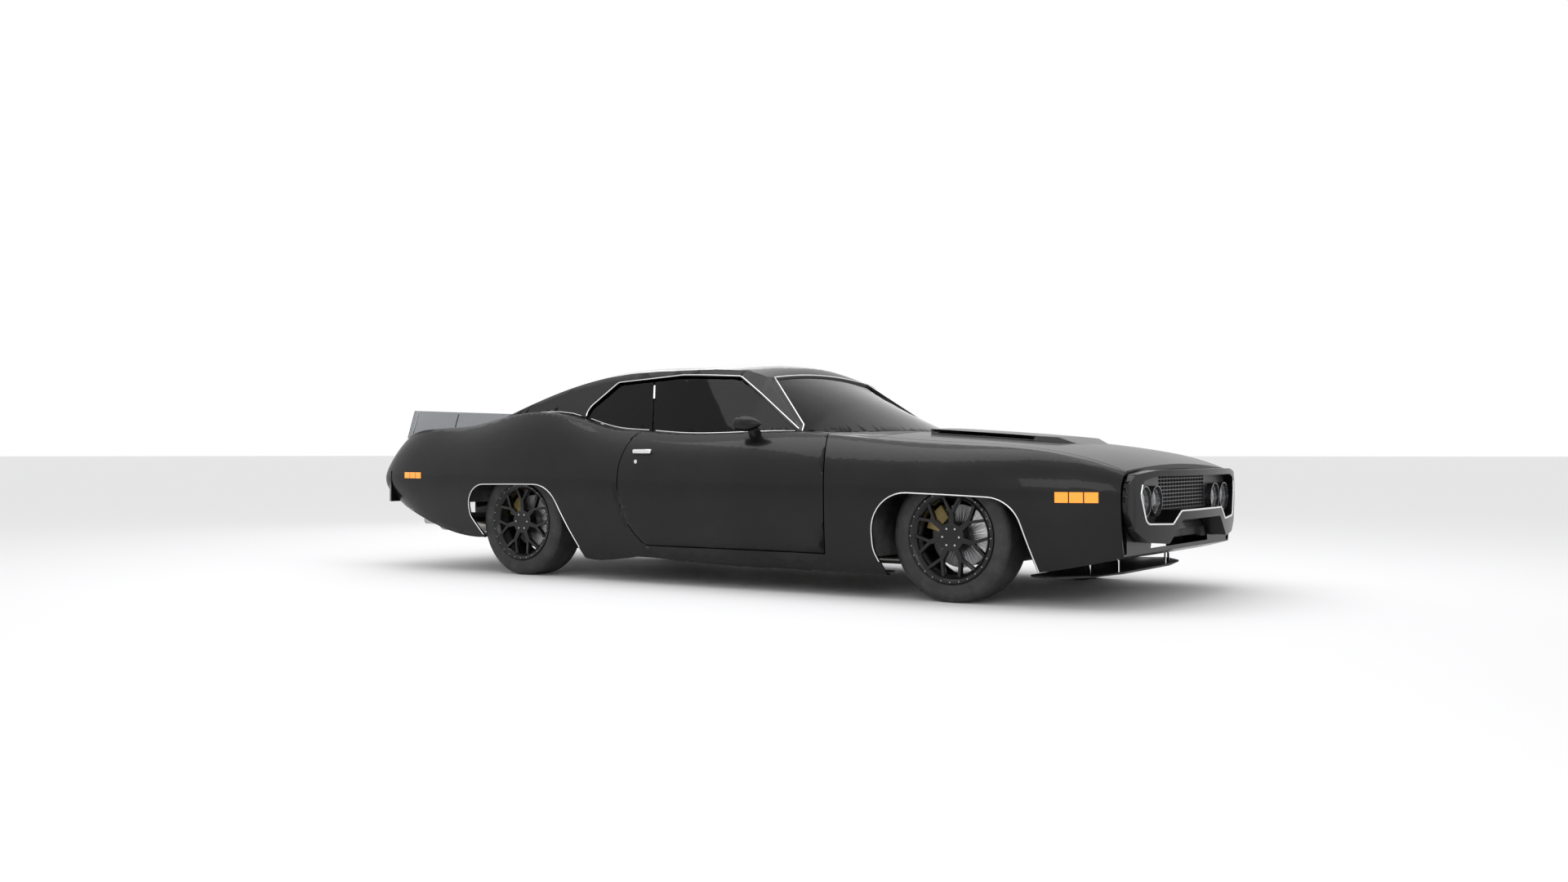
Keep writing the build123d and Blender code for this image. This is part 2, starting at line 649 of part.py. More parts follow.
with BuildPart() as cowl:
    add(top_plate)
    add(side_prism([(A_POST_X, 1200), cowl_edge[0], cowl_edge[1], (A_POST_X, 500)],
                   -COWL_HALF, COWL_HALF), mode=Mode.INTERSECT)
    add(block(A_POST_X, 1300, -COWL_HALF, COWL_HALF, 0, 600), mode=Mode.SUBTRACT)
    add(top_outer, mode=Mode.SUBTRACT)
    add(side_walls.part)
    add(post_walls.part)
    add(block(FIREWALL_X, FIREWALL_X + FIREWALL, -PILLAR_INNER_Y, PILLAR_INNER_Y, FLOOR_Z,
              HOOD_EDGE_Z - LID_THICKNESS))
    add(block(FIREWALL_X, FIREWALL_X + FIREWALL, -TUNNEL_HALF + TUNNEL_WALL,
              TUNNEL_HALF - TUNNEL_WALL, 0, TUNNEL_TOP_Z - TUNNEL_WALL), mode=Mode.SUBTRACT)
    for side in (-1, 1):
        for hinge_z in DOOR_HINGE_ZS:
            add(door_ear(side, hinge_z))
    for hinge_y in HOOD_HINGE_YS:
        add(hinge_pocket(HOOD_AXIS, 1, hinge_y), mode=Mode.SUBTRACT)
        add(lid_bracket(HOOD_AXIS, (FIREWALL_X + FIREWALL - 2, FIREWALL_X + FIREWALL + 40),
                        HOOD_AXIS[1] - 60, hinge_y))
save(cowl.part, "cowl")

# Rear deck between the rear glass and the boot lid, and the tail panel
with BuildPart() as rear_deck:
    add(top_plate)
    add(side_prism([(-1400, 1200), deck_edge[0], deck_edge[1], (-1400, 500)],
                   -BOOT_HALF - SHUT_GAP, BOOT_HALF + SHUT_GAP), mode=Mode.INTERSECT)
    add(block(-2500, -1300, -900, 900, 0, 600), mode=Mode.SUBTRACT)
    add(top_outer, mode=Mode.SUBTRACT)
    for hinge_y in BOOT_HINGE_YS:
        add(hinge_pocket(BOOT_AXIS, -1, hinge_y), mode=Mode.SUBTRACT)
        add(lid_bracket(BOOT_AXIS, (BOOT_AXIS[0] + 25, BOOT_AXIS[0] + 70),
                        BOOT_AXIS[1] + 8, hinge_y))
save(rear_deck.part, "rear_deck")

TAIL_WALL = 30
LAMP_Z = (632, 672)
LAMP_Y = (330, 770)
LAMP_RECESS = 18
LAMP_DEPTH = 12
LAMP_SEGMENTS = 3
LAMP_GAP = 8
TAIL_FACE_X = -2550
with BuildPart() as tail_panel:
    add(hull)
    add(block(TAIL_FACE_X - 1, TAIL_SEAM_X, -1100, 1100, 0, 1200), mode=Mode.INTERSECT)
    add(hull_inner - block(TAIL_FACE_X - 1, TAIL_FACE_X + TAIL_WALL, -1100, 1100, 0, 1200),
        mode=Mode.SUBTRACT)
    for side in (-1, 1):
        add(block(TAIL_FACE_X - 1, TAIL_FACE_X + LAMP_RECESS, side * LAMP_Y[0],
                  side * LAMP_Y[1], LAMP_Z[0], LAMP_Z[1]), mode=Mode.SUBTRACT)
save(tail_panel.part, "tail_panel")

lamp_width = (LAMP_Y[1] - LAMP_Y[0] - LAMP_GAP * (LAMP_SEGMENTS + 1)) / LAMP_SEGMENTS
with BuildPart() as tail_lamps:
    for side in (-1, 1):
        with BuildSketch(Plane.YZ.offset(TAIL_FACE_X + LAMP_RECESS)):
            with Locations((side * (LAMP_Y[0] + LAMP_Y[1]) / 2, (LAMP_Z[0] + LAMP_Z[1]) / 2)):
                with GridLocations(lamp_width + LAMP_GAP, 1, LAMP_SEGMENTS, 1):
                    RectangleRounded(lamp_width, LAMP_Z[1] - LAMP_Z[0] - LAMP_GAP, 8)
        extrude(amount=-LAMP_DEPTH)
save(tail_lamps.part, "tail_lamps")

# Rear bumper, wrapped round the tail
BUMPER_Z = (425, 622)
REAR_BUMPER = [(-2455, 925), (-2512, 888), (TAIL_X, 745)]
PLATE_Z = 520
PLATE_SPACING = 178
PLATE_HOLE_RADIUS = 3.3
with BuildPart() as rear_bumper:
    add(plan_prism(both_sides(REAR_BUMPER), BUMPER_Z[0],
                   BUMPER_Z[1]))
    fillet(rear_bumper.edges().filter_by(Axis.Z, reverse=True).group_by(Axis.X)[0], 12)
    add(hull, mode=Mode.SUBTRACT)
    add(block(-2540, -2400, -800, 800, 0, 900), mode=Mode.SUBTRACT)
    with BuildSketch(Plane.YZ.offset(TAIL_X - 1)):
        with Locations((0, PLATE_Z)):
            with GridLocations(PLATE_SPACING, 1, 2, 1):
                Circle(PLATE_HOLE_RADIUS)
    extrude(amount=60, mode=Mode.SUBTRACT)
save(rear_bumper.part, "rear_bumper")

# Side markers: three lenses each, standing proud of the skin
MARKER_PROUD = 4
MARKERS = [(2270, 530, 190, 50), (-2205, 597, 166, 38)]
MARKER_GAP = 6
MARKER_SEGMENTS = 3
with BuildPart(mode=Mode.PRIVATE) as marker_layer:
    add(body_form(inset=-MARKER_PROUD))
    add(hull, mode=Mode.SUBTRACT)
with BuildPart() as side_markers:
    with BuildSketch(Plane.XZ):
        for x, z, length, height in MARKERS:
            lens = (length - MARKER_GAP * (MARKER_SEGMENTS - 1)) / MARKER_SEGMENTS
            with Locations((x, z)):
                with GridLocations(lens + MARKER_GAP, 1, MARKER_SEGMENTS, 1):
                    Rectangle(lens, height)
    extrude(amount=1100, both=True)
    add(marker_layer.part, mode=Mode.INTERSECT)
    add(block(-2600, 2600, -500, 500, 0, 1200), mode=Mode.SUBTRACT)
save(side_markers.part, "side_markers")

# Front valance: the body's underside between the fenders, open in the middle
VALANCE_FRONT_X = BUMPER_SEAM_X
VALANCE_REAR_X = 2046
VALANCE_OPENING = [(2100, 300), (2330, 220)]
VALANCE_TOP_Z = 384
VALANCE_INTAKE = [(430, 275), (405, 352)]
with BuildPart() as valance:
    add(skin)
    add(block(VALANCE_REAR_X, VALANCE_FRONT_X, -HOOD_HALF - SHUT_GAP, HOOD_HALF + SHUT_GAP, 0, 400),
        mode=Mode.INTERSECT)
    add(plan_prism(both_sides(VALANCE_OPENING), 0, 500), mode=Mode.SUBTRACT)
    with BuildPart(mode=Mode.PRIVATE) as valance_front:
        add(hull)
        add(block(VALANCE_FRONT_X - SKIN, VALANCE_FRONT_X, -HOOD_HALF - SHUT_GAP,
                  HOOD_HALF + SHUT_GAP, 0, VALANCE_TOP_Z), mode=Mode.INTERSECT)
        add(front_prism(both_sides_up(VALANCE_INTAKE), VALANCE_FRONT_X - SKIN - 1,
                        VALANCE_FRONT_X + 1), mode=Mode.SUBTRACT)
    add(valance_front.part)
save(valance.part, "front_valance")

# Front bumper: one loop round the grille and lamps
BUMPER_GAP = 6
BUMPER_REAR_X = BUMPER_SEAM_X + BUMPER_GAP
BUMPER_CORNER = (2476, 822)
BUMPER_OUTLINE = [(0, 664), (555, 656), (745, 637), (806, 588), (818, 520), (812, 465),
                  (752, 372), (640, 316), (440, 300), (290, 412), (0, 416)]
BUMPER_OUTLINE_RADII = [900, 60, 50, 40, 40, 60, 60, 40, 40]
BUMPER_MOUTH = [(0, 636), (570, 626), (678, 606), (702, 540), (652, 408), (405, 400),
                (312, 461), (0, 463)]
BUMPER_MOUTH_RADII = [400, 25, 60, 45, 30, 30]


def mirrored_outline(half):
    """Closed outline from a half that starts and ends on the centre line."""
    return half[1:-1] + [(-y, z) for y, z in reversed(half[1:-1])]


with BuildPart() as front_bumper:
    add(front_prism(mirrored_outline(BUMPER_OUTLINE), BUMPER_REAR_X, NOSE_X + 40,
                    BUMPER_OUTLINE_RADII + BUMPER_OUTLINE_RADII[::-1]))
    with BuildSketch(Plane.XY):
        with BuildLine():
            ThreePointArc((BUMPER_CORNER[0], BUMPER_CORNER[1] + 20), (NOSE_X, 0),
                          (BUMPER_CORNER[0], -BUMPER_CORNER[1] - 20))
            Polyline((BUMPER_CORNER[0], -BUMPER_CORNER[1] - 20), (2300, -1000), (2300, 1000),
                     (BUMPER_CORNER[0], BUMPER_CORNER[1] + 20))
        make_face()
    extrude(amount=1200, mode=Mode.INTERSECT)
    add(front_prism(mirrored_outline(BUMPER_MOUTH), 2300, 2620,
                    BUMPER_MOUTH_RADII + BUMPER_MOUTH_RADII[::-1]), mode=Mode.SUBTRACT)
save(front_bumper.part, "front_bumper")

# Grille: a plate pierced by rows of rectangular holes, and the lamps' panel
GRILLE_X = BUMPER_REAR_X - 14
GRILLE_HALF = 345
GRILLE_Z = (462, 628)
GRILLE_COLUMNS = 16
GRILLE_ROWS = 9
GRILLE_BAR = 6
LAMP_CENTRES = (443, 596)
LAMP_HEIGHT = 506
LAMP_HOUSING_RADIUS = 74
LAMP_LENS_RADIUS = 66
GRILLE_LIP = 12
HOOD_STEP = (6, 616)
grille_pitch = (2 * GRILLE_HALF / GRILLE_COLUMNS, (GRILLE_Z[1] - GRILLE_Z[0]) / GRILLE_ROWS)
with BuildPart() as grille:
    with BuildSketch(Plane.YZ.offset(GRILLE_X)):
        with BuildLine():
            FilletPolyline(*mirrored_outline(BUMPER_MOUTH), close=True,
                           radius=BUMPER_MOUTH_RADII + BUMPER_MOUTH_RADII[::-1])
        make_face()
        offset(amount=GRILLE_LIP)
    extrude(amount=BUMPER_REAR_X - GRILLE_X)
    with BuildSketch(Plane.YZ.offset(GRILLE_X)):
        with Locations((0, sum(GRILLE_Z) / 2)):
            with GridLocations(*grille_pitch, GRILLE_COLUMNS, GRILLE_ROWS):
                Rectangle(grille_pitch[0] - GRILLE_BAR, grille_pitch[1] - GRILLE_BAR)
        for side in (-1, 1):
            with Locations(*[(side * y, LAMP_HEIGHT) for y in LAMP_CENTRES]):
                Circle(LAMP_HOUSING_RADIUS)
    extrude(amount=BUMPER_REAR_X - GRILLE_X, mode=Mode.SUBTRACT)
    add(block(GRILLE_X, GRILLE_X + HOOD_STEP[0], -HOOD_HALF, HOOD_HALF, HOOD_STEP[1], 700),
        mode=Mode.SUBTRACT)
save(grille.part, "grille")

# Headlamps: a deep round shade with a domed lens at its root
LAMP_SHADE_DEPTH = 46
LAMP_DOME = 12
LAMP_LENS_X = GRILLE_X + 22
with BuildPart() as headlamps:
    for side in (-1, 1):
        for y in LAMP_CENTRES:
            with BuildSketch(Plane((0, side * y, LAMP_HEIGHT), x_dir=(1, 0, 0),
                                   z_dir=(0, -1, 0))):
                with BuildLine():
                    Polyline((GRILLE_X, 0), (GRILLE_X, LAMP_HOUSING_RADIUS),
                             (GRILLE_X + LAMP_SHADE_DEPTH, LAMP_HOUSING_RADIUS),
                             (GRILLE_X + LAMP_SHADE_DEPTH, LAMP_HOUSING_RADIUS - 4),
                             (LAMP_LENS_X, LAMP_LENS_RADIUS))
                    TangentArc((LAMP_LENS_X + LAMP_DOME, 0), (LAMP_LENS_X, LAMP_LENS_RADIUS),
                               tangent=(0, 1))
                    Line((LAMP_LENS_X + LAMP_DOME, 0), (GRILLE_X, 0))
                make_face()
            revolve(axis=Axis((0, side * y, LAMP_HEIGHT), (1, 0, 0)))
save(headlamps.part, "headlamps")

# Splitter under the nose, hung from the valance on short rods
SPLITTER_Z = (135, 145)
SPLITTER = [(1960, 740), (2098, 815), (2228, 640), (2282, 330)]
SPLITTER_RODS = [(2255, 340), (2195, 560)]
SPLITTER_ROD_RADIUS = 6
with BuildPart() as splitter:
    add(plan_prism(both_sides(SPLITTER), *SPLITTER_Z))
    fillet(splitter.edges().filter_by(Axis.Z), 40)
    with BuildPart(mode=Mode.PRIVATE) as rods:
        with BuildSketch(Plane.XY.offset(SPLITTER_Z[1])):
            for side in (-1, 1):
                with Locations(*[(x, side * y) for x, y in SPLITTER_RODS]):
                    Circle(SPLITTER_ROD_RADIUS)
        extrude(amount=200)
        add(hull, mode=Mode.SUBTRACT)
        add(block(1900, 2500, -900, 900, 250, 500), mode=Mode.SUBTRACT)
    add(rods.part)
save(splitter.part, "splitter")

# Floor pan: cabin floor with its tunnel, the raised rear floor, bulkhead,
# parcel shelf and rear wheel tubs
HEEL_X = -935
REAR_FLOOR_Z = (430, 445)
REAR_FLOOR_HALF = REAR_HOUSE_INNER - TUB_WALL
SHELF_Z = (900, 912)
SHELF_X = -1700
TIE_CENTRE_X = -2050
TIE_SPACING = (400, 900)
TIE_HOLE_RADIUS = 5.5
WALL = 15
with BuildPart() as floor_pan:
    add(block(HEEL_X, FIREWALL_X + FIREWALL, -CABIN_HALF, CABIN_HALF, FLOOR_Z - FLOOR, FLOOR_Z))
    add(block(HEEL_X, FIREWALL_X, -TUNNEL_HALF, TUNNEL_HALF, FLOOR_Z - FLOOR, TUNNEL_TOP_Z))
    add(block(HEEL_X - WALL - 1, FIREWALL_X + FIREWALL, -TUNNEL_HALF + TUNNEL_WALL,
              TUNNEL_HALF - TUNNEL_WALL, 0, TUNNEL_TOP_Z - TUNNEL_WALL), mode=Mode.SUBTRACT)
    add(block(HEEL_X - WALL, HEEL_X, -REAR_FLOOR_HALF, REAR_FLOOR_HALF, FLOOR_Z - FLOOR,
              REAR_FLOOR_Z[1])
        - block(HEEL_X - WALL, HEEL_X, -TUNNEL_HALF + TUNNEL_WALL, TUNNEL_HALF - TUNNEL_WALL, 0,
                TUNNEL_TOP_Z - TUNNEL_WALL))
    add(block(TAIL_SEAM_X, HEEL_X, -REAR_FLOOR_HALF, REAR_FLOOR_HALF, *REAR_FLOOR_Z))
    add(block(TAIL_SEAM_X, REAR_AXLE_X - 390, -BOOT_HALF - SHUT_GAP, BOOT_HALF + SHUT_GAP,
              *REAR_FLOOR_Z))
    with BuildSketch(Plane.XY.offset(REAR_FLOOR_Z[0])):
        with Locations((TIE_CENTRE_X, 0)):
            with GridLocations(*TIE_SPACING, 2, 2):
                Circle(TIE_HOLE_RADIUS)
    extrude(amount=REAR_FLOOR_Z[1] - REAR_FLOOR_Z[0], mode=Mode.SUBTRACT)
    add(block(BULKHEAD_X - WALL, BULKHEAD_X, -REAR_FLOOR_HALF, REAR_FLOOR_HALF,
              REAR_FLOOR_Z[0], SHELF_Z[1]))
    add(block(SHELF_X, BULKHEAD_X, -BOOT_HALF - SHUT_GAP, BOOT_HALF + SHUT_GAP, *SHELF_Z))
    add(rear_tub)
    add(mirror(rear_tub, about=Plane.XZ))
save(floor_pan.part, "floor_pan")

# Engine: one plain block with its gearbox
ENGINE_X = (1165, 1880)
ENGINE_HALF = 290
ENGINE_Z = (245, 740)
GEARBOX_HALF = 98
GEARBOX_Z = (205, 300)
GEARBOX_X = 420
with BuildPart() as engine:
    add(block(*ENGINE_X, -ENGINE_HALF, ENGINE_HALF, *ENGINE_Z))
    add(block(GEARBOX_X, ENGINE_X[0] + 1, -GEARBOX_HALF, GEARBOX_HALF, *GEARBOX_Z))
save(engine.part, "engine")

# Front frame: rails, crossmember under the engine, radiator wall, wheel tubs,
# and the arms whose bosses carry the kingpins
RAIL_Y = (440, 500)
RAIL_Z = (245, 330)
CROSS_X = (FRONT_AXLE_X - 60, FRONT_AXLE_X + 60)
CROSS_Z = (165, 245)
RAIL_KICK = (2300, 290)
RADIATOR_WALL_X = (GRILLE_X - 24, GRILLE_X)
RADIATOR_CORE = 18
RADIATOR_HALF = 690
RADIATOR_WALL_Z = (300, 612)
KINGPIN_RADIUS = 9
BOSS_RADIUS = 20
BOSS_HEIGHT = 23
KNUCKLE_Z = (200, 448)
BOSS_STEP = 2
LOWER_BOSS_Z = KNUCKLE_Z[0] - BOSS_STEP - BOSS_HEIGHT
UPPER_BOSS_Z = KNUCKLE_Z[1] + BOSS_STEP


def suspension_arm(side, z, inner_y):
    """Flat arm from the frame to the bored boss that holds a kingpin's end."""
    with BuildPart(mode=Mode.PRIVATE) as arm:
        with BuildSketch(Plane.XY.offset(z)):
            with BuildLine():
                Polyline((FRONT_AXLE_X - 60, side * inner_y), (FRONT_AXLE_X + 60, side * inner_y),
                         (FRONT_AXLE_X + BOSS_RADIUS, side * KINGPIN_Y),
                         (FRONT_AXLE_X - BOSS_RADIUS, side * KINGPIN_Y), close=True)
            make_face()
            with Locations((FRONT_AXLE_X, side * KINGPIN_Y)):
                Circle(BOSS_RADIUS)
                Circle(KINGPIN_RADIUS + PIN_CLEARANCE, mode=Mode.SUBTRACT)
        extrude(amount=BOSS_HEIGHT)
    return arm.part


with BuildPart() as front_frame:
    for side in (-1, 1):
        add(block(FIREWALL_X + FIREWALL, RADIATOR_WALL_X[0], side * RAIL_Y[0], side * RAIL_Y[1],
                  *RAIL_Z))
        add(block(CROSS_X[0], CROSS_X[1], side * RAIL_Y[0], side * (FRONT_HOUSE_INNER - TUB_WALL),
                  RAIL_Z[1], UPPER_BOSS_Z + BOSS_HEIGHT))
        add(suspension_arm(side, LOWER_BOSS_Z, RAIL_Y[0]))
        add(suspension_arm(side, UPPER_BOSS_Z, RAIL_Y[0]))
    add(block(RAIL_KICK[0], RADIATOR_WALL_X[0], -RAIL_Y[1], RAIL_Y[1], 0, RAIL_KICK[1]),
        mode=Mode.SUBTRACT)
    add(block(*CROSS_X, -RAIL_Y[1], RAIL_Y[1], *CROSS_Z))
    add(block(*RADIATOR_WALL_X, -RADIATOR_HALF, RADIATOR_HALF, *RADIATOR_WALL_Z))
    add(block(RADIATOR_WALL_X[0], RADIATOR_WALL_X[1], -GRILLE_HALF, GRILLE_HALF, *GRILLE_Z),
        mode=Mode.SUBTRACT)
    add(block(*RADIATOR_WALL_X, -GRILLE_HALF, GRILLE_HALF, 0, VALANCE_INTAKE[1][1]),
        mode=Mode.SUBTRACT)
    add(block(RADIATOR_WALL_X[0] - RADIATOR_CORE, RADIATOR_WALL_X[0], -GRILLE_HALF - 20,
              GRILLE_HALF + 20, RADIATOR_WALL_Z[0] + 10, RADIATOR_WALL_Z[1]))
    add(front_tub)
    add(mirror(front_tub, about=Plane.XZ))
save(front_frame.part, "front_frame")

# Rear axle on its leaf springs, with the propeller shaft
AXLE_RADIUS = 38
AXLE_END_Y = 705
SPINDLE_RADIUS = HUB_BORE / 2
SPINDLE_END_Y = 872
DIFF_RADIUS = 130
DIFF_WIDTH = 170
SHAFT_RADIUS = 32
SHAFT_Z = 258
SPRING_Y = 508
SPRING_WIDTH = 60
SPRING_THICKNESS = 28
SPRING_ENDS = (-985, -1745)
SPRING_SAG_Z = 262
SPRING_END_Z = 330


def spindle(side):
    """Stub that a wheel turns on, beyond the axle's end flange."""
    return tube_along_y(0, TYRE_RADIUS, min(side * AXLE_END_Y, side * SPINDLE_END_Y),
                        max(side * AXLE_END_Y, side * SPINDLE_END_Y), SPINDLE_RADIUS)


CALIPER_RADII = (106, 180)
CALIPER_HALF = 35
CALIPER_SPAN = 19
CALIPER_ANGLE = 145
CALIPER_CLEARANCE = 5
CALIPER_ARC = 46


def caliper(axle_x, side, root_y):
    """Brake caliper astride a disc, with the bracket that joins it inboard."""
    inner = DISC_Y - DISC_THICKNESS / 2 - CALIPER_CLEARANCE
    outer = DISC_Y + DISC_THICKNESS / 2 + CALIPER_CLEARANCE
    start = CALIPER_ANGLE - CALIPER_ARC / 2
    with BuildPart(mode=Mode.PRIVATE) as body:
        with BuildSketch(Plane.XZ.offset(-root_y)) as ring:
            with Locations((axle_x, TYRE_RADIUS)):
                Circle(CALIPER_RADII[1])
                Circle(CALIPER_RADII[0], mode=Mode.SUBTRACT)
        extrude(amount=-(outer + CALIPER_SPAN - root_y))
        with BuildSketch(Plane.XZ.offset(-root_y)):
            with BuildLine():
                tips = [(axle_x + 400 * cos(radians(start + step)),
                         TYRE_RADIUS + 400 * sin(radians(start + step)))
                        for step in (0, CALIPER_ARC)]
                Polyline((axle_x, TYRE_RADIUS), *tips, close=True)
            make_face()
        extrude(amount=-(outer + CALIPER_SPAN - root_y), mode=Mode.INTERSECT)
        with BuildSketch(Plane.XZ.offset(-inner)):
            with Locations((axle_x, TYRE_RADIUS)):
                Circle(DISC_RADIUS + CALIPER_CLEARANCE)
        extrude(amount=-(outer - inner), mode=Mode.SUBTRACT)
        with BuildSketch(Plane.XZ.offset(-root_y)):
            with BuildLine():
                angle = radians(CALIPER_ANGLE)
                across = (-sin(angle) * 22, cos(angle) * 22)
                far = (axle_x + 120 * cos(angle), TYRE_RADIUS + 120 * sin(angle))
                Polyline((axle_x - across[0], TYRE_RADIUS - across[1]),
                         (far[0] - across[0], far[1] - across[1]),
                         (far[0] + across[0], far[1] + across[1]),
                         (axle_x + across[0], TYRE_RADIUS + across[1]), close=True)
            make_face()
        extrude(amount=-18)
    return body.part if side > 0 else mirror(body.part, about=Plane.XZ)


CALIPER_ROOT_Y = 722
with BuildPart() as rear_axle:
    add(tube_along_y(REAR_AXLE_X, TYRE_RADIUS, -AXLE_END_Y, AXLE_END_Y, AXLE_RADIUS))
    add(tube_along_y(REAR_AXLE_X, TYRE_RADIUS, -CALIPER_ROOT_Y - 18, CALIPER_ROOT_Y + 18, 30))
    add(tube_along_y(REAR_AXLE_X, TYRE_RADIUS, -SPINDLE_END_Y, SPINDLE_END_Y, SPINDLE_RADIUS))
    add(tube_along_y(REAR_AXLE_X, TYRE_RADIUS - 20, -DIFF_WIDTH / 2, DIFF_WIDTH / 2,
                     DIFF_RADIUS - 40))
    with BuildSketch(Plane.YZ.offset(GEARBOX_X)):
        with Locations((0, SHAFT_Z)):
            Circle(SHAFT_RADIUS)
    extrude(amount=REAR_AXLE_X - GEARBOX_X)
    for side in (-1, 1):
        with BuildSketch(Plane.XZ.offset(-side * SPRING_Y + SPRING_WIDTH / 2)):
            with BuildLine():
                ThreePointArc((SPRING_ENDS[0], SPRING_END_Z), (REAR_AXLE_X, SPRING_SAG_Z),
                              (SPRING_ENDS[1], SPRING_END_Z))
            trace(line_width=SPRING_THICKNESS)
        extrude(amount=-SPRING_WIDTH)
        for end_x in SPRING_ENDS:
            add(block(end_x - 18, end_x + 18, side * SPRING_Y - SPRING_WIDTH / 2,
                      side * SPRING_Y + SPRING_WIDTH / 2, SPRING_END_Z - 24, REAR_FLOOR_Z[0]))
        add(block(REAR_AXLE_X - 45, REAR_AXLE_X + 45, side * SPRING_Y - SPRING_WIDTH / 2,
                  side * SPRING_Y + SPRING_WIDTH / 2, SPRING_SAG_Z, TYRE_RADIUS))
        add(caliper(REAR_AXLE_X, side, CALIPER_ROOT_Y))
save(rear_axle.part, "rear_axle")

# Knuckles: upright with kingpin ends, spindle and caliper
KNUCKLE_HALF = 22
with BuildPart() as knuckle:
    add(block(FRONT_AXLE_X - KNUCKLE_HALF, FRONT_AXLE_X + KNUCKLE_HALF,
              KINGPIN_Y - KNUCKLE_HALF + 4, KINGPIN_Y + KNUCKLE_HALF, *KNUCKLE_Z))
    fillet(knuckle.edges().filter_by(Axis.Z), 8)
    with BuildSketch(Plane.XY.offset(LOWER_BOSS_Z)):
        with Locations((FRONT_AXLE_X, KINGPIN_Y)):
            Circle(KINGPIN_RADIUS)
    extrude(amount=UPPER_BOSS_Z + BOSS_HEIGHT - LOWER_BOSS_Z)
    add(tube_along_y(FRONT_AXLE_X, TYRE_RADIUS, KINGPIN_Y, CALIPER_ROOT_Y + 18, 30))
    add(tube_along_y(FRONT_AXLE_X, TYRE_RADIUS, KINGPIN_Y, SPINDLE_END_Y, SPINDLE_RADIUS))
    add(caliper(FRONT_AXLE_X, 1, CALIPER_ROOT_Y))
save_pair(knuckle.part, "knuckle")

# Wheels: rim with forked spokes and the brake disc on its hub
RIM_INNER_Y = WHEEL_Y - TYRE_WIDTH / 2
RIM_WALL = 9
DROP_RADIUS = 200
HUB_RADIUS = 70
HUB_FACE_Y = 884
HUB_BACK_Y = 836
FORK_RADIUS = 118
SPOKE_STEM = 26
SPOKE_ARM = 15
SPOKE_THICKNESS = 26
SPOKE_FACE_Y = 892
ARM_SPREAD = 360 / SPOKE_COUNT / 4
CAP_RADIUS = 33


def wheel_place(axle_x, radius, angle):
    """Point of the wheel's plane at a radius and an angle from straight up."""
    return (axle_x + radius * sin(radians(angle)), TYRE_RADIUS + radius * cos(radians(angle)))


def make_rim(axle_x):
    """Rim of a left wheel: dished barrel, seven Y spokes and the hub."""
    axle = Axis((axle_x, 0, TYRE_RADIUS), (0, 1, 0))
    with BuildPart(mode=Mode.PRIVATE) as rim:
        with BuildSketch(Plane((axle_x, 0, TYRE_RADIUS), x_dir=(0, 1, 0), z_dir=(1, 0, 0))):
            with BuildLine():
                Polyline((RIM_INNER_Y, LIP_RADIUS), (RIM_INNER_Y, BEAD_RADIUS - RIM_WALL),
                         (RIM_INNER_Y + 60, DROP_RADIUS - RIM_WALL),
                         (WHEEL_OUTER_Y - 28, DROP_RADIUS - RIM_WALL),
                         (WHEEL_OUTER_Y - 4, BEAD_RADIUS - 2), (WHEEL_OUTER_Y, LIP_RADIUS - 8),
                         (WHEEL_OUTER_Y - 5, LIP_RADIUS), (WHEEL_OUTER_Y - 14, LIP_RADIUS),
                         (WHEEL_OUTER_Y - 16, BEAD_RADIUS), (WHEEL_OUTER_Y - 45, BEAD_RADIUS),
                         (WHEEL_OUTER_Y - 62, DROP_RADIUS), (RIM_INNER_Y + 70, DROP_RADIUS),
                         (RIM_INNER_Y + 30, BEAD_RADIUS), (RIM_INNER_Y + 14, BEAD_RADIUS),
                         (RIM_INNER_Y + 12, LIP_RADIUS), close=True)
            make_face()
        revolve(axis=axle)
        with BuildSketch(Plane.XZ.offset(-(SPOKE_FACE_Y - SPOKE_THICKNESS))):
            for index in range(SPOKE_COUNT):
                turn = index * 360 / SPOKE_COUNT
                fork = wheel_place(axle_x, FORK_RADIUS, turn)
                with BuildLine():
                    Line(wheel_place(axle_x, 40, turn), fork)
                    for spread in (-ARM_SPREAD, ARM_SPREAD):
                        Line(fork, wheel_place(axle_x, DROP_RADIUS - 2, turn + spread))
                trace(line_width=SPOKE_ARM)
                with BuildLine():
                    Line(wheel_place(axle_x, 40, turn), fork)
                trace(line_width=SPOKE_STEM)
            with Locations((axle_x, TYRE_RADIUS)):
                Circle(HUB_RADIUS)
        extrude(amount=-SPOKE_THICKNESS)
        with BuildSketch(Plane.XZ.offset(-HUB_BACK_Y)):
            with Locations((axle_x, TYRE_RADIUS)):
                Circle(HUB_RADIUS)
        extrude(amount=-(HUB_FACE_Y - HUB_BACK_Y))
        with BuildSketch(Plane.XZ.offset(-700)):
            with Locations((axle_x, TYRE_RADIUS)):
                Circle(HUB_BORE / 2 + SPINDLE_CLEARANCE)
        extrude(amount=-(SPINDLE_END_Y + 4 - 700), mode=Mode.SUBTRACT)
    return rim.part


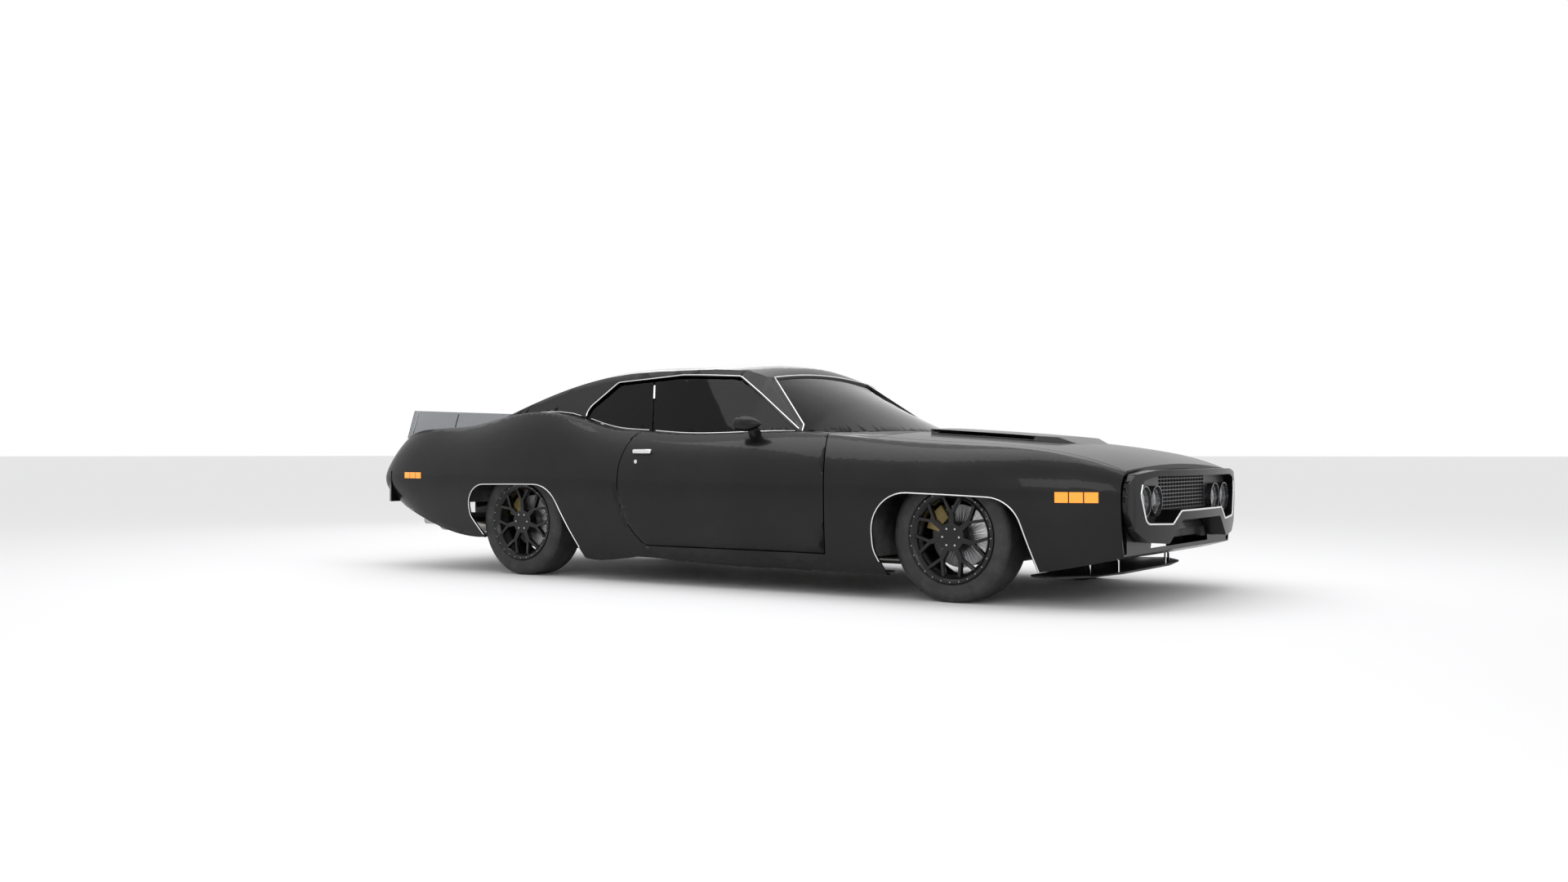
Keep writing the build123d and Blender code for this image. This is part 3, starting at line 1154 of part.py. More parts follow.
def make_disc(axle_x):
    """Brake disc of a left wheel with the hat that bolts to the hub."""
    back = DISC_Y - DISC_THICKNESS / 2
    with BuildPart(mode=Mode.PRIVATE) as disc:
        with BuildSketch(Plane.XZ.offset(-back)):
            with Locations((axle_x, TYRE_RADIUS)):
                Circle(DISC_RADIUS)
        extrude(amount=-DISC_THICKNESS)
        with BuildSketch(Plane.XZ.offset(-(back + DISC_THICKNESS))):
            with Locations((axle_x, TYRE_RADIUS)):
                Circle(HUB_RADIUS)
        extrude(amount=-(HUB_BACK_Y - back - DISC_THICKNESS))
        with BuildSketch(Plane.XZ.offset(-back)):
            with Locations((axle_x, TYRE_RADIUS)):
                Circle(HUB_BORE / 2 + SPINDLE_CLEARANCE)
        extrude(amount=-200, mode=Mode.SUBTRACT)
    return disc.part


def make_tyre(axle_x):
    """Tyre of a left wheel, seated on the rim's beads."""
    inner, outer = WHEEL_Y - TYRE_WIDTH / 2, WHEEL_Y + TYRE_WIDTH / 2
    with BuildPart(mode=Mode.PRIVATE) as tyre:
        with BuildSketch(Plane((axle_x, 0, TYRE_RADIUS), x_dir=(0, 1, 0), z_dir=(1, 0, 0))):
            with BuildLine():
                Polyline((inner + 14, BEAD_RADIUS), (inner + 14, LIP_RADIUS),
                         (inner, LIP_RADIUS + 12), (inner, 285), (inner + 8, 308),
                         (inner + 26, TYRE_RADIUS), (outer - 26, TYRE_RADIUS),
                         (outer - 8, 308), (outer, 285), (outer, LIP_RADIUS + 12),
                         (outer - 16, LIP_RADIUS), (outer - 16, BEAD_RADIUS), close=True)
            make_face()
        revolve(axis=Axis((axle_x, 0, TYRE_RADIUS), (0, 1, 0)))
    return tyre.part


for end, axle_x in (("front", FRONT_AXLE_X), ("rear", REAR_AXLE_X)):
    save_pair(make_rim(axle_x), f"rim_{end}")
    save_pair(make_disc(axle_x), f"brake_disc_{end}")
    save_pair(make_tyre(axle_x), f"tyre_{end}")

# Exhaust: a pipe and a muffler on each side, hung from the boot floor
PIPE_RADIUS = 25
PIPE_WALL = 3
PIPE_Z = 148
PIPE_Y = 250
MUFFLER_Y = 572
MUFFLER_X = (-2330, -1850)
MUFFLER_Z = 290
MUFFLER_RADIUS = 62
TIP_X = -2510
with BuildPart() as exhaust:
    for side in (-1, 1):
        with BuildLine() as run:
            FilletPolyline((1230, side * PIPE_Y, ENGINE_Z[0]), (1230, side * PIPE_Y, PIPE_Z),
                           (-1560, side * PIPE_Y, PIPE_Z),
                           (-1760, side * MUFFLER_Y, MUFFLER_Z),
                           (TIP_X, side * MUFFLER_Y, MUFFLER_Z), radius=60)
        with BuildSketch(Plane(origin=run.line @ 0, z_dir=run.line % 0)):
            Circle(PIPE_RADIUS)
        sweep(path=run.line)
        with BuildSketch(Plane.YZ.offset(MUFFLER_X[0])):
            with Locations((side * MUFFLER_Y, MUFFLER_Z)):
                Circle(MUFFLER_RADIUS)
        extrude(amount=MUFFLER_X[1] - MUFFLER_X[0])
        with BuildSketch(Plane.YZ.offset(TIP_X)):
            with Locations((side * MUFFLER_Y, MUFFLER_Z)):
                Circle(PIPE_RADIUS - PIPE_WALL)
        extrude(amount=MUFFLER_X[0] - TIP_X - 20, mode=Mode.SUBTRACT)
        for hanger_x in (MUFFLER_X[0] + 40, MUFFLER_X[1] - 60):
            add(block(hanger_x, hanger_x + 12, side * MUFFLER_Y - 15, side * MUFFLER_Y + 15,
                      MUFFLER_Z, REAR_FLOOR_Z[0]))
save(exhaust.part, "exhaust")

# Fuel tank under the boot floor
TANK = [(-1790, 270), (-2200, 320), (-2200, REAR_FLOOR_Z[0]), (-1790, REAR_FLOOR_Z[0])]
TANK_HALF = 430
with BuildPart() as fuel_tank:
    add(side_prism(TANK, -TANK_HALF, TANK_HALF, [40, 40, 5, 5]))
save(fuel_tank.part, "fuel_tank")

# Spoiler: a raked blade across the tail, seated on the boot lid
SPOILER = [(-2412, 820), (-2404, 820), (-2330, 1013), (-2338, 1013)]
SPOILER_HALF = 830
SPOILER_SEAT_HALF = BOOT_HALF - 6
with BuildPart() as spoiler:
    add(side_prism(SPOILER, -SPOILER_HALF, SPOILER_HALF))
    add(hull, mode=Mode.SUBTRACT)
    add(body_form(inset=-SHUT_GAP)
        - block(-2600, -2200, -SPOILER_SEAT_HALF, SPOILER_SEAT_HALF, 0, 1200),
        mode=Mode.SUBTRACT)
save(spoiler.part, "spoiler")

# Door mirrors: a bullet on a short foot
MIRROR_CENTRE = (920, 895)
MIRROR_X = (330, 490)
MIRROR_RADIUS = 38
MIRROR_FOOT = [(928, 885), (905, 905), (842, 850), (884, 800)]
MIRROR_FOOT_X = (395, 435)
with BuildPart() as door_mirror:
    with BuildSketch(Plane((0, *MIRROR_CENTRE), x_dir=(1, 0, 0), z_dir=(0, -1, 0))):
        with BuildLine():
            ThreePointArc((MIRROR_X[1], 0), (MIRROR_X[1] - 50, MIRROR_RADIUS * 0.82),
                          (MIRROR_X[0] + 20, MIRROR_RADIUS))
            Polyline((MIRROR_X[0] + 20, MIRROR_RADIUS), (MIRROR_X[0], MIRROR_RADIUS - 2),
                     (MIRROR_X[0], 0), (MIRROR_X[1], 0))
        make_face()
    revolve(axis=Axis((0, *MIRROR_CENTRE), (1, 0, 0)))
    add(front_prism(MIRROR_FOOT, *MIRROR_FOOT_X) - hull)
save_pair(door_mirror.part, "mirror")

# Seats: plain cushions and backs
SEAT_Y = 380
SEAT_HALF = 240
FRONT_CUSHION = [(-330, FLOOR_Z), (180, FLOOR_Z), (190, 400), (150, 420), (-330, 420)]
FRONT_BACK = [(-190, 420), (-325, 420), (-440, 925), (-350, 950), (-310, 920)]
REAR_CUSHION = [(-1245, 445), (-935, 445), (-935, FLOOR_Z), (-800, FLOOR_Z), (-770, 500),
                (-790, 545), (-1245, 520)]
REAR_BACK = [(-1130, 529), (-1245, 523), (-1261, 895), (-1190, 890)]
SEAT_CLEARANCE = 1
REAR_SEAT_HALF = 600
for name, outline in (("front_seat_cushions", FRONT_CUSHION), ("front_seat_backs", FRONT_BACK)):
    with BuildPart() as seats:
        for side in (-1, 1):
            add(side_prism(outline, side * SEAT_Y - SEAT_HALF, side * SEAT_Y + SEAT_HALF))
    save(seats.part, name)
for name, outline in (("rear_seat_cushion", REAR_CUSHION), ("rear_seat_back", REAR_BACK)):
    with BuildPart() as bench:
        add(side_prism(outline, -REAR_SEAT_HALF, REAR_SEAT_HALF))
        add(block(HEEL_X, 0, -TUNNEL_HALF - SEAT_CLEARANCE, TUNNEL_HALF + SEAT_CLEARANCE, 0,
                  TUNNEL_TOP_Z + SEAT_CLEARANCE), mode=Mode.SUBTRACT)
    save(bench.part, name)

# Dashboard on the firewall, and the steering wheel with its column
DASHBOARD = [(FIREWALL_X, 600), (700, 560), (600, 590), (575, 720), (640, 780),
             (FIREWALL_X, 790)]
DASHBOARD_RADII = [1, 30, 30, 40, 60, 1]
DASHBOARD_HALF = 690
WHEEL_CENTRE = (300, SEAT_Y, 740)
WHEEL_RIM_RADIUS = 182
WHEEL_GRIP_RADIUS = 13
COLUMN_TILT = 25
COLUMN_RADIUS = 24
COLUMN_LENGTH = 420
with BuildPart() as dashboard:
    add(side_prism(DASHBOARD, -DASHBOARD_HALF, DASHBOARD_HALF, DASHBOARD_RADII))
save(dashboard.part, "dashboard")

column_way = (cos(radians(COLUMN_TILT)), 0, -sin(radians(COLUMN_TILT)))
with BuildPart() as steering_wheel:
    with BuildSketch(Plane(WHEEL_CENTRE, x_dir=(0, 1, 0), z_dir=column_way)):
        Circle(COLUMN_RADIUS)
    extrude(amount=COLUMN_LENGTH)
    add(dashboard.part, mode=Mode.SUBTRACT)
    with BuildSketch(Plane(WHEEL_CENTRE, x_dir=(0, 1, 0), z_dir=column_way)):
        Circle(52)
        with Locations(*[Rotation(0, 0, turn) for turn in (90, 210, 330)]):
            with Locations((WHEEL_RIM_RADIUS / 2, 0)):
                Rectangle(WHEEL_RIM_RADIUS, 30)
    extrude(amount=8)
    with BuildSketch(Plane(WHEEL_CENTRE, x_dir=(0, 1, 0), z_dir=(-sin(radians(COLUMN_TILT)), 0,
                                                                -cos(radians(COLUMN_TILT))))):
        with Locations((WHEEL_RIM_RADIUS, 0)):
            Circle(WHEEL_GRIP_RADIUS)
    revolve(axis=Axis(WHEEL_CENTRE, column_way))
save(steering_wheel.part, "steering_wheel")
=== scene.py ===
import json
import math

import bmesh
import bpy
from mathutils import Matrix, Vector
from mathutils.bvhtree import BVHTree


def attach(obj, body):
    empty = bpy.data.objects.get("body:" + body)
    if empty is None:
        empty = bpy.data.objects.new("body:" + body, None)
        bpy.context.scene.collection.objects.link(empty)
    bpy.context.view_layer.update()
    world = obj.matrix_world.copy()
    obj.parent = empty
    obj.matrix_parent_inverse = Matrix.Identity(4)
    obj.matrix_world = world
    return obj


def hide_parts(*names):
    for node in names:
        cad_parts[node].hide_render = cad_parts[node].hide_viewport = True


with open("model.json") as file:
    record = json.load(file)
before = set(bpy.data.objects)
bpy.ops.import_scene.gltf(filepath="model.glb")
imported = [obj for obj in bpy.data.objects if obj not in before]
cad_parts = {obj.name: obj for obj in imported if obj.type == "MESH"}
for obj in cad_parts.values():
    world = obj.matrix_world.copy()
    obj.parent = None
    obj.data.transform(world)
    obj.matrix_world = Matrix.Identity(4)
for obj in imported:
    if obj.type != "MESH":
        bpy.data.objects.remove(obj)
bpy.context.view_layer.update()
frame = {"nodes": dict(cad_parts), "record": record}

# Sizes shared with the solids, in metres
FRONT_AXLE_X = 1.6105
REAR_AXLE_X = -1.3105
AXLE_Z = 0.324
TYRE_MIDDLE_Y = 0.7905
FRONT_ARCH = [(-0.305, 0.060), (-0.396, 0.250), (-0.392, 0.544), (0.357, 0.517),
              (0.498, 0.060)]
REAR_ARCH = [(-0.200, 0.060), (-0.374, 0.352), (-0.368, 0.543), (0.319, 0.549),
             (0.568, 0.060)]
FRONT_ARCH_RADII = [0, 0.150, 0.200, 0.170, 0]
REAR_ARCH_RADII = [0, 0.060, 0.150, 0.190, 0]
SIDE_WINDOW = [(0.666, 0.850), (0.092, 1.172), (-0.320, 1.190), (-0.790, 1.162),
               (-0.942, 1.005), (-0.932, 0.962)]
SIDE_WINDOW_RADII = [0, 0.070, 0.300, 0.040, 0.070, 0]
PANE_SPLIT = [(-0.378, 0.860), (-0.534, 1.174)]
SCREEN_TRIM = [(0.672, 0.840), (0.640, 0.735), (0.292, 0.510)]
BACKLIGHT_TRIM = [(-1.112, 0.462), (-1.500, 0.568), (-1.740, 0.636)]
MOUTH_TRIM = [(0.690, 0.588), (0.704, 0.540), (0.654, 0.402), (0.402, 0.394),
              (0.309, 0.456), (0.000, 0.457)]
MOUTH_TRIM_RADII = [0, 0.040, 0.045, 0.030, 0.030, 0]
CALIPER_INNER_Y = 0.7215
HUB_RADIUS = 0.1
HANDLE_X = (-0.364, -0.232)
HANDLE_Z = (0.734, 0.760)
LOCK = (-0.330, 0.690)
WHEELS = {
    "front_left": (FRONT_AXLE_X, 1), "front_right": (FRONT_AXLE_X, -1),
    "rear_left": (REAR_AXLE_X, 1), "rear_right": (REAR_AXLE_X, -1),
}


# Finishes

def new_group(name, inputs, outputs):
    """Empty shader node group with named sockets; returns it with its end nodes."""
    group = bpy.data.node_groups.new(name, "ShaderNodeTree")
    for label, kind, value in inputs:
        socket = group.interface.new_socket(name=label, in_out="INPUT", socket_type=kind)
        socket.default_value = value
    for label, kind in outputs:
        group.interface.new_socket(name=label, in_out="OUTPUT", socket_type=kind)
    entry = group.nodes.new("NodeGroupInput")
    leave = group.nodes.new("NodeGroupOutput")
    return group, entry, leave


def math_node(group, operation, *values):
    """Math node fed by numbers or by other nodes' outputs; returns its output."""
    node = group.nodes.new("ShaderNodeMath")
    node.operation = operation
    for socket, value in zip(node.inputs, values):
        if isinstance(value, (int, float)):
            socket.default_value = value
        else:
            group.links.new(value, socket)
    return node.outputs["Value"]


def object_noise(group, scale_socket, detail=4.0, roughness=0.55):
    """Noise in object coordinates inside a group, its scale taken from a socket."""
    place = group.nodes.new("ShaderNodeTexCoord")
    noise = group.nodes.new("ShaderNodeTexNoise")
    noise.inputs["Detail"].default_value = detail
    noise.inputs["Roughness"].default_value = roughness
    group.links.new(place.outputs["Object"], noise.inputs["Vector"])
    group.links.new(scale_socket, noise.inputs["Scale"])
    return noise


def make_surface_film():
    """Thin film of dust and wiping marks: colour and roughness that wander."""
    group, entry, leave = new_group(
        "surface_film",
        [("Color", "NodeSocketColor", (0.02, 0.02, 0.02, 1)),
         ("Film Color", "NodeSocketColor", (0.2, 0.19, 0.18, 1)),
         ("Amount", "NodeSocketFloat", 0.05), ("Scale", "NodeSocketFloat", 3.0),
         ("Roughness", "NodeSocketFloat", 0.3), ("Variation", "NodeSocketFloat", 0.05)],
        [("Color", "NodeSocketColor"), ("Roughness", "NodeSocketFloat")])
    noise = object_noise(group, entry.outputs["Scale"])
    shape = group.nodes.new("ShaderNodeMapRange")
    shape.inputs["From Min"].default_value = 0.42
    shape.inputs["From Max"].default_value = 0.75
    group.links.new(noise.outputs["Fac"], shape.inputs["Value"])
    amount = math_node(group, "MULTIPLY", shape.outputs["Result"], entry.outputs["Amount"])
    mix = group.nodes.new("ShaderNodeMix")
    mix.data_type = "RGBA"
    group.links.new(amount, mix.inputs["Factor"])
    group.links.new(entry.outputs["Color"], mix.inputs["A"])
    group.links.new(entry.outputs["Film Color"], mix.inputs["B"])
    group.links.new(mix.outputs["Result"], leave.inputs["Color"])
    spread = math_node(group, "MULTIPLY_ADD", noise.outputs["Fac"],
                       entry.outputs["Variation"], entry.outputs["Roughness"])
    group.links.new(spread, leave.inputs["Roughness"])
    return group


def make_fine_relief():
    """Height of a fine even relief, such as orange peel or moulded grain."""
    group, entry, leave = new_group(
        "fine_relief", [("Scale", "NodeSocketFloat", 200.0)],
        [("Height", "NodeSocketFloat")])
    noise = object_noise(group, entry.outputs["Scale"], detail=2.0)
    group.links.new(noise.outputs["Fac"], leave.inputs["Height"])
    return group


def from_centre(group, entry):
    """Object coordinates measured from the group's Centre."""
    place = group.nodes.new("ShaderNodeTexCoord")
    shift = group.nodes.new("ShaderNodeVectorMath")
    shift.operation = "SUBTRACT"
    group.links.new(place.outputs["Object"], shift.inputs[0])
    group.links.new(entry.outputs["Centre"], shift.inputs[1])
    return shift.outputs["Vector"]


def make_turned_rings():
    """Fine rings round a wheel's axle, as a lathe or a brake pad leaves them."""
    group, entry, leave = new_group(
        "turned_rings",
        [("Centre", "NodeSocketVector", (0, 0, 0)), ("Scale", "NodeSocketFloat", 60.0)],
        [("Height", "NodeSocketFloat")])
    wave = group.nodes.new("ShaderNodeTexWave")
    wave.wave_type = "RINGS"
    wave.rings_direction = "Y"
    wave.inputs["Distortion"].default_value = 0.4
    group.links.new(from_centre(group, entry), wave.inputs["Vector"])
    group.links.new(entry.outputs["Scale"], wave.inputs["Scale"])
    group.links.new(wave.outputs["Fac"], leave.inputs["Height"])
    return group


TREAD_EDGE_RADIUS = 0.309
TREAD_LUGS = 66
LUG_SLANT = 70.0
LUG_SHARE = -0.72
GROOVE_PITCH = 0.042
GROOVE_SHARE = 0.24
SIDE_RIB_RATE = 620.0
SIDE_RIB_HEIGHT = 0.10


def make_tread_pattern():
    """Height of a road tyre: round grooves, slanted lugs and ribs on its sides."""
    group, entry, leave = new_group(
        "tread_pattern", [("Centre", "NodeSocketVector", (0, 0, 0))],
        [("Height", "NodeSocketFloat")])
    parts = group.nodes.new("ShaderNodeSeparateXYZ")
    group.links.new(from_centre(group, entry), parts.inputs["Vector"])
    x, y, z = (parts.outputs[axis] for axis in "XYZ")
    radius = math_node(group, "SQRT", math_node(
        group, "ADD", math_node(group, "MULTIPLY", x, x), math_node(group, "MULTIPLY", z, z)))
    around = math_node(group, "MULTIPLY", math_node(group, "ARCTAN2", z, x), TREAD_LUGS)
    slant = math_node(group, "MULTIPLY_ADD", math_node(group, "ABSOLUTE", y), LUG_SLANT, around)
    lugs = math_node(group, "GREATER_THAN", math_node(group, "SINE", slant), LUG_SHARE)
    across = math_node(group, "SINE", math_node(group, "MULTIPLY", y, math.pi / GROOVE_PITCH))
    grooves = math_node(group, "GREATER_THAN", math_node(group, "ABSOLUTE", across),
                        GROOVE_SHARE)
    tread = math_node(group, "MULTIPLY", lugs, grooves)
    ribs = math_node(group, "MULTIPLY", math_node(
        group, "SINE", math_node(group, "MULTIPLY", radius, SIDE_RIB_RATE)), SIDE_RIB_HEIGHT)
    on_tread = math_node(group, "GREATER_THAN", radius, TREAD_EDGE_RADIUS)
    mix = group.nodes.new("ShaderNodeMix")
    group.links.new(on_tread, mix.inputs["Factor"])
    group.links.new(ribs, mix.inputs["A"])
    group.links.new(tread, mix.inputs["B"])
    group.links.new(mix.outputs["Result"], leave.inputs["Height"])
    return group


surface_film = make_surface_film()
tread_pattern = make_tread_pattern()
fine_relief = make_fine_relief()
turned_rings = make_turned_rings()


BUMP_DEPTH = 0.002
TREAD_DEPTH = 0.006


def group_node(material, group, values):
    """Instance of a shader group in a material, with its inputs set."""
    node = material.node_tree.nodes.new("ShaderNodeGroup")
    node.node_tree = group
    for label, value in values.items():
        node.inputs[label].default_value = value
    return node


def finish_material(name, color, roughness, variation=0.06, film=0.04, film_scale=3.0,
                    relief=(180.0, 0.05), rings=None, tread=None, **shader_values):
    """Principled material with the film and relief groups and the given fixed values."""
    material = bpy.data.materials.new(name)
    material.use_nodes = True
    links = material.node_tree.links
    shader = material.node_tree.nodes["Principled BSDF"]
    coat = group_node(material, surface_film,
                      {"Color": (*color, 1), "Amount": film, "Scale": film_scale,
                       "Roughness": roughness - variation / 2, "Variation": variation})
    links.new(coat.outputs["Color"], shader.inputs["Base Color"])
    links.new(coat.outputs["Roughness"], shader.inputs["Roughness"])
    bump = material.node_tree.nodes.new("ShaderNodeBump")
    bump.inputs["Strength"].default_value = relief[1]
    bump.inputs["Distance"].default_value = BUMP_DEPTH
    if rings:
        height = group_node(material, turned_rings, {"Centre": rings[0], "Scale": rings[1]})
    elif tread:
        height = group_node(material, tread_pattern, {"Centre": tread})
        bump.inputs["Distance"].default_value = TREAD_DEPTH
    else:
        height = group_node(material, fine_relief, {"Scale": relief[0]})
    links.new(height.outputs["Height"], bump.inputs["Height"])
    links.new(bump.outputs["Normal"], shader.inputs["Normal"])
    for label, value in shader_values.items():
        shader.inputs[label.replace("_", " ")].default_value = value
    material.diffuse_color = (*color, 1)
    return material


GLOSS = {"Coat_Weight": 1.0, "Coat_Roughness": 0.04}
paint = finish_material("gloss_black_paint", (0.004, 0.004, 0.0045), 0.36, 0.05, 0.02,
                        relief=(260.0, 0.01), Specular_IOR_Level=0.14, Coat_Weight=0.26,
                        Coat_Roughness=0.05)
glass = finish_material("tinted_glass", (0.016, 0.0165, 0.0175), 0.03, 0.02, 0.01,
                        relief=(8.0, 0.01), Transmission_Weight=1.0, IOR=1.22)
chrome = finish_material("bright_trim", (0.78, 0.78, 0.79), 0.12, 0.08, 0.05,
                         relief=(40.0, 0.03), Metallic=1.0)
satin_black = finish_material("satin_black", (0.012, 0.012, 0.012), 0.5, 0.1, 0.05,
                              relief=(300.0, 0.15))
matt_plastic = finish_material("matt_black_plastic", (0.016, 0.016, 0.016), 0.62, 0.1, 0.06,
                               relief=(420.0, 0.3))
underseal = finish_material("underseal", (0.015, 0.015, 0.015), 0.7, 0.12, 0.3, 6.0,
                            relief=(120.0, 0.5))
cast_iron = finish_material("cast_iron", (0.09, 0.085, 0.08), 0.6, 0.2, 0.3, 9.0,
                            relief=(160.0, 0.5), Metallic=0.6)
pipe_steel = finish_material("stainless_pipe", (0.42, 0.40, 0.38), 0.3, 0.15, 0.15, 12.0,
                             relief=(90.0, 0.1), Metallic=1.0)
rim_paint = finish_material("gloss_black_rim", (0.004, 0.004, 0.0045), 0.3, 0.06, 0.03, 12.0,
                            relief=(320.0, 0.02), Specular_IOR_Level=0.2, Coat_Weight=0.3,
                            Coat_Roughness=0.05)
bolt_steel = finish_material("bolt_steel", (0.5, 0.5, 0.52), 0.3, 0.1, 0.08, 60.0,
                             relief=(400.0, 0.1), Metallic=1.0)
caliper_gold = finish_material("caliper_gold", (0.28, 0.21, 0.07), 0.4, 0.1, 0.2, 20.0,
                               relief=(260.0, 0.25), Metallic=0.5)
leather = finish_material("black_leather", (0.02, 0.019, 0.018), 0.5, 0.15, 0.15, 10.0,
                          relief=(650.0, 0.5))
amber = finish_material("amber_lens", (0.95, 0.33, 0.012), 0.18, 0.05, 0.02,
                        relief=(120.0, 0.12), Emission_Color=(1.0, 0.36, 0.02, 1),
                        Emission_Strength=0.25, **GLOSS)
red_lens = finish_material("red_lens", (0.32, 0.006, 0.006), 0.18, 0.05, 0.02,
                           relief=(120.0, 0.12), **GLOSS)
lamp_glass = finish_material("lamp_glass", (0.06, 0.062, 0.066), 0.1, 0.05, 0.02,
                             relief=(60.0, 0.3), Metallic=0.5, **GLOSS)
grille_grey = finish_material("grille_grey", (0.055, 0.055, 0.058), 0.38, 0.1, 0.05,
                              relief=(260.0, 0.2), Metallic=0.4)
mirror_face = finish_material("mirror_face", (0.82, 0.83, 0.84), 0.03, 0.02, 0.01,
                              relief=(8.0, 0.0), Metallic=1.0)
smoked = finish_material("smoked_blade", (0.42, 0.43, 0.45), 0.06, 0.04, 0.03,
                         relief=(6.0, 0.0), Transmission_Weight=0.75, IOR=1.3)


# Copies of the solids, merged for smooth shading

def deselect():
    """Leave edit mode with nothing selected."""
    if bpy.context.object and bpy.context.object.mode != "OBJECT":
        bpy.ops.object.mode_set(mode="OBJECT")
    bpy.ops.object.select_all(action="DESELECT")


def choose(piece):
    """Make a piece the only selected one and the active one."""
    deselect()
    piece.select_set(True)
    bpy.context.view_layer.objects.active = piece


MERGE_DISTANCE = 0.00002


def smooth_copy(node, material, body, angle=32):
    """Merged copy of a node's mesh, shaded smooth up to an angle, in the node's place."""
    source = frame["nodes"][node]
    piece = bpy.data.objects.new(f"{node}_skin", source.data.copy())
    bpy.context.scene.collection.objects.link(piece)
    choose(piece)
    bpy.ops.object.mode_set(mode="EDIT")
    bpy.ops.mesh.select_all(action="SELECT")
    bpy.ops.mesh.remove_doubles(threshold=MERGE_DISTANCE)
    bpy.ops.object.mode_set(mode="OBJECT")
    bpy.ops.object.shade_smooth_by_angle(angle=math.radians(angle))
    even = piece.modifiers.new("even_normals", "WEIGHTED_NORMAL")
    even.mode = "FACE_AREA"
    even.weight = 100
    even.keep_sharp = True
    bpy.ops.object.modifier_apply(modifier=even.name)
    piece.data.materials.clear()
    piece.data.materials.append(material)
    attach(piece, body)
    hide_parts(node)
    return piece


# Lines drawn on the body's own surface

def surface_tree(nodes):
    """Search tree over the named solids' faces."""
    mesh = bmesh.new()
    for node in nodes:
        mesh.from_mesh(frame["nodes"][node].data)
    tree = BVHTree.FromBMesh(mesh)
    mesh.free()
    return tree


def rounded(points, radii, steps=8):
    """Corner points with arcs of the given radii between their straight runs."""
    path = []
    last = len(points) - 1
    for i, point in enumerate(points):
        corner = Vector(point)
        if i in (0, last) or not radii[i]:
            path.append(corner)
            continue
        back = (Vector(points[i - 1]) - corner).normalized()
        ahead = (Vector(points[i + 1]) - corner).normalized()
        half = back.angle(ahead) / 2
        run = radii[i] / math.tan(half)
        centre = corner + (back + ahead).normalized() * radii[i] / math.sin(half)
        start, end = corner + back * run - centre, corner + ahead * run - centre
        turn = start.angle(end)
        for step in range(steps + 1):
            share = step / steps
            path.append(centre + (start * math.sin((1 - share) * turn)
                                  + end * math.sin(share * turn)) / math.sin(turn))
    return path


def subdivided(path, spacing):
    """Path points with more between them, no farther apart than spacing."""
    result = []
    for start, end in zip(path, path[1:]):
        parts = max(1, math.ceil((end - start).length / spacing))
        result += [start.lerp(end, step / parts) for step in range(parts)]
    return result + [path[-1]]


def on_side(tree, x, z, side, proud=0.0):
    """Point of a body side at (x, z), or None where the side is open there."""
    hit = tree.ray_cast(Vector((x, side * 1.5, z)), Vector((0, -side, 0)))[0]
    return None if hit is None else Vector((x, hit.y + side * proud, z))


body_of_node = {node: body for body, nodes in frame["record"]["behaviour"]["bodies"].items()
                for node in nodes}
FINISHES = {
    "roof": paint, "hood": paint, "boot_lid": paint, "cowl": paint, "rear_deck": paint,
    "tail_panel": paint, "rear_bumper": paint, "front_valance": paint, "front_bumper": paint,
    "door_left": paint, "door_right": paint, "front_fender_left": paint,
    "front_fender_right": paint, "quarter_panel_left": paint, "quarter_panel_right": paint,
    "mirror_left": paint, "mirror_right": paint, "windscreen": glass, "rear_glass": glass,
    "quarter_glass": glass, "door_glass_left": glass, "door_glass_right": glass,
    "tail_lamps": red_lens, "side_markers": amber, "grille": grille_grey,
    "headlamps": lamp_glass, "splitter": satin_black, "floor_pan": underseal,
    "front_frame": underseal, "engine": cast_iron, "rear_axle": cast_iron,
    "knuckle_left": cast_iron, "knuckle_right": cast_iron, "exhaust": pipe_steel,
    "fuel_tank": satin_black, "spoiler": smoked, "dashboard": matt_plastic,
    "steering_wheel": satin_black,
}
skins = {node: smooth_copy(node, material, body_of_node[node])
         for node, material in FINISHES.items()}


def paint_faces(piece, material, wanted):
    """Give a second finish to the faces whose centre meets a condition."""
    piece.data.materials.append(material)
    index = len(piece.data.materials) - 1
    for face in piece.data.polygons:
        if wanted(face.center, face.normal):
            face.material_index = index


def radius_from(centre, axle_x):
    """Distance of a face from an axle, seen from the side."""
    return math.hypot(centre.x - axle_x, centre.z - AXLE_Z)


def on_caliper(centre, axle_x):
    """Whether a face belongs to a brake caliper rather than to the hub."""
    return abs(centre.y) > CALIPER_INNER_Y and radius_from(centre, axle_x) > HUB_RADIUS


for side in ("left", "right"):
    paint_faces(skins[f"knuckle_{side}"], caliper_gold, lambda c, n: on_caliper(c, FRONT_AXLE_X))
paint_faces(skins["rear_axle"], caliper_gold, lambda c, n: on_caliper(c, REAR_AXLE_X))

# Rings of bolts: count, circle, radius of a head and how proud it stands
RIM_BOLTS = (28, 0.222, 0.0028, 0.002)
CAP_BOLTS = (6, 0.046, 0.0055, 0.004)


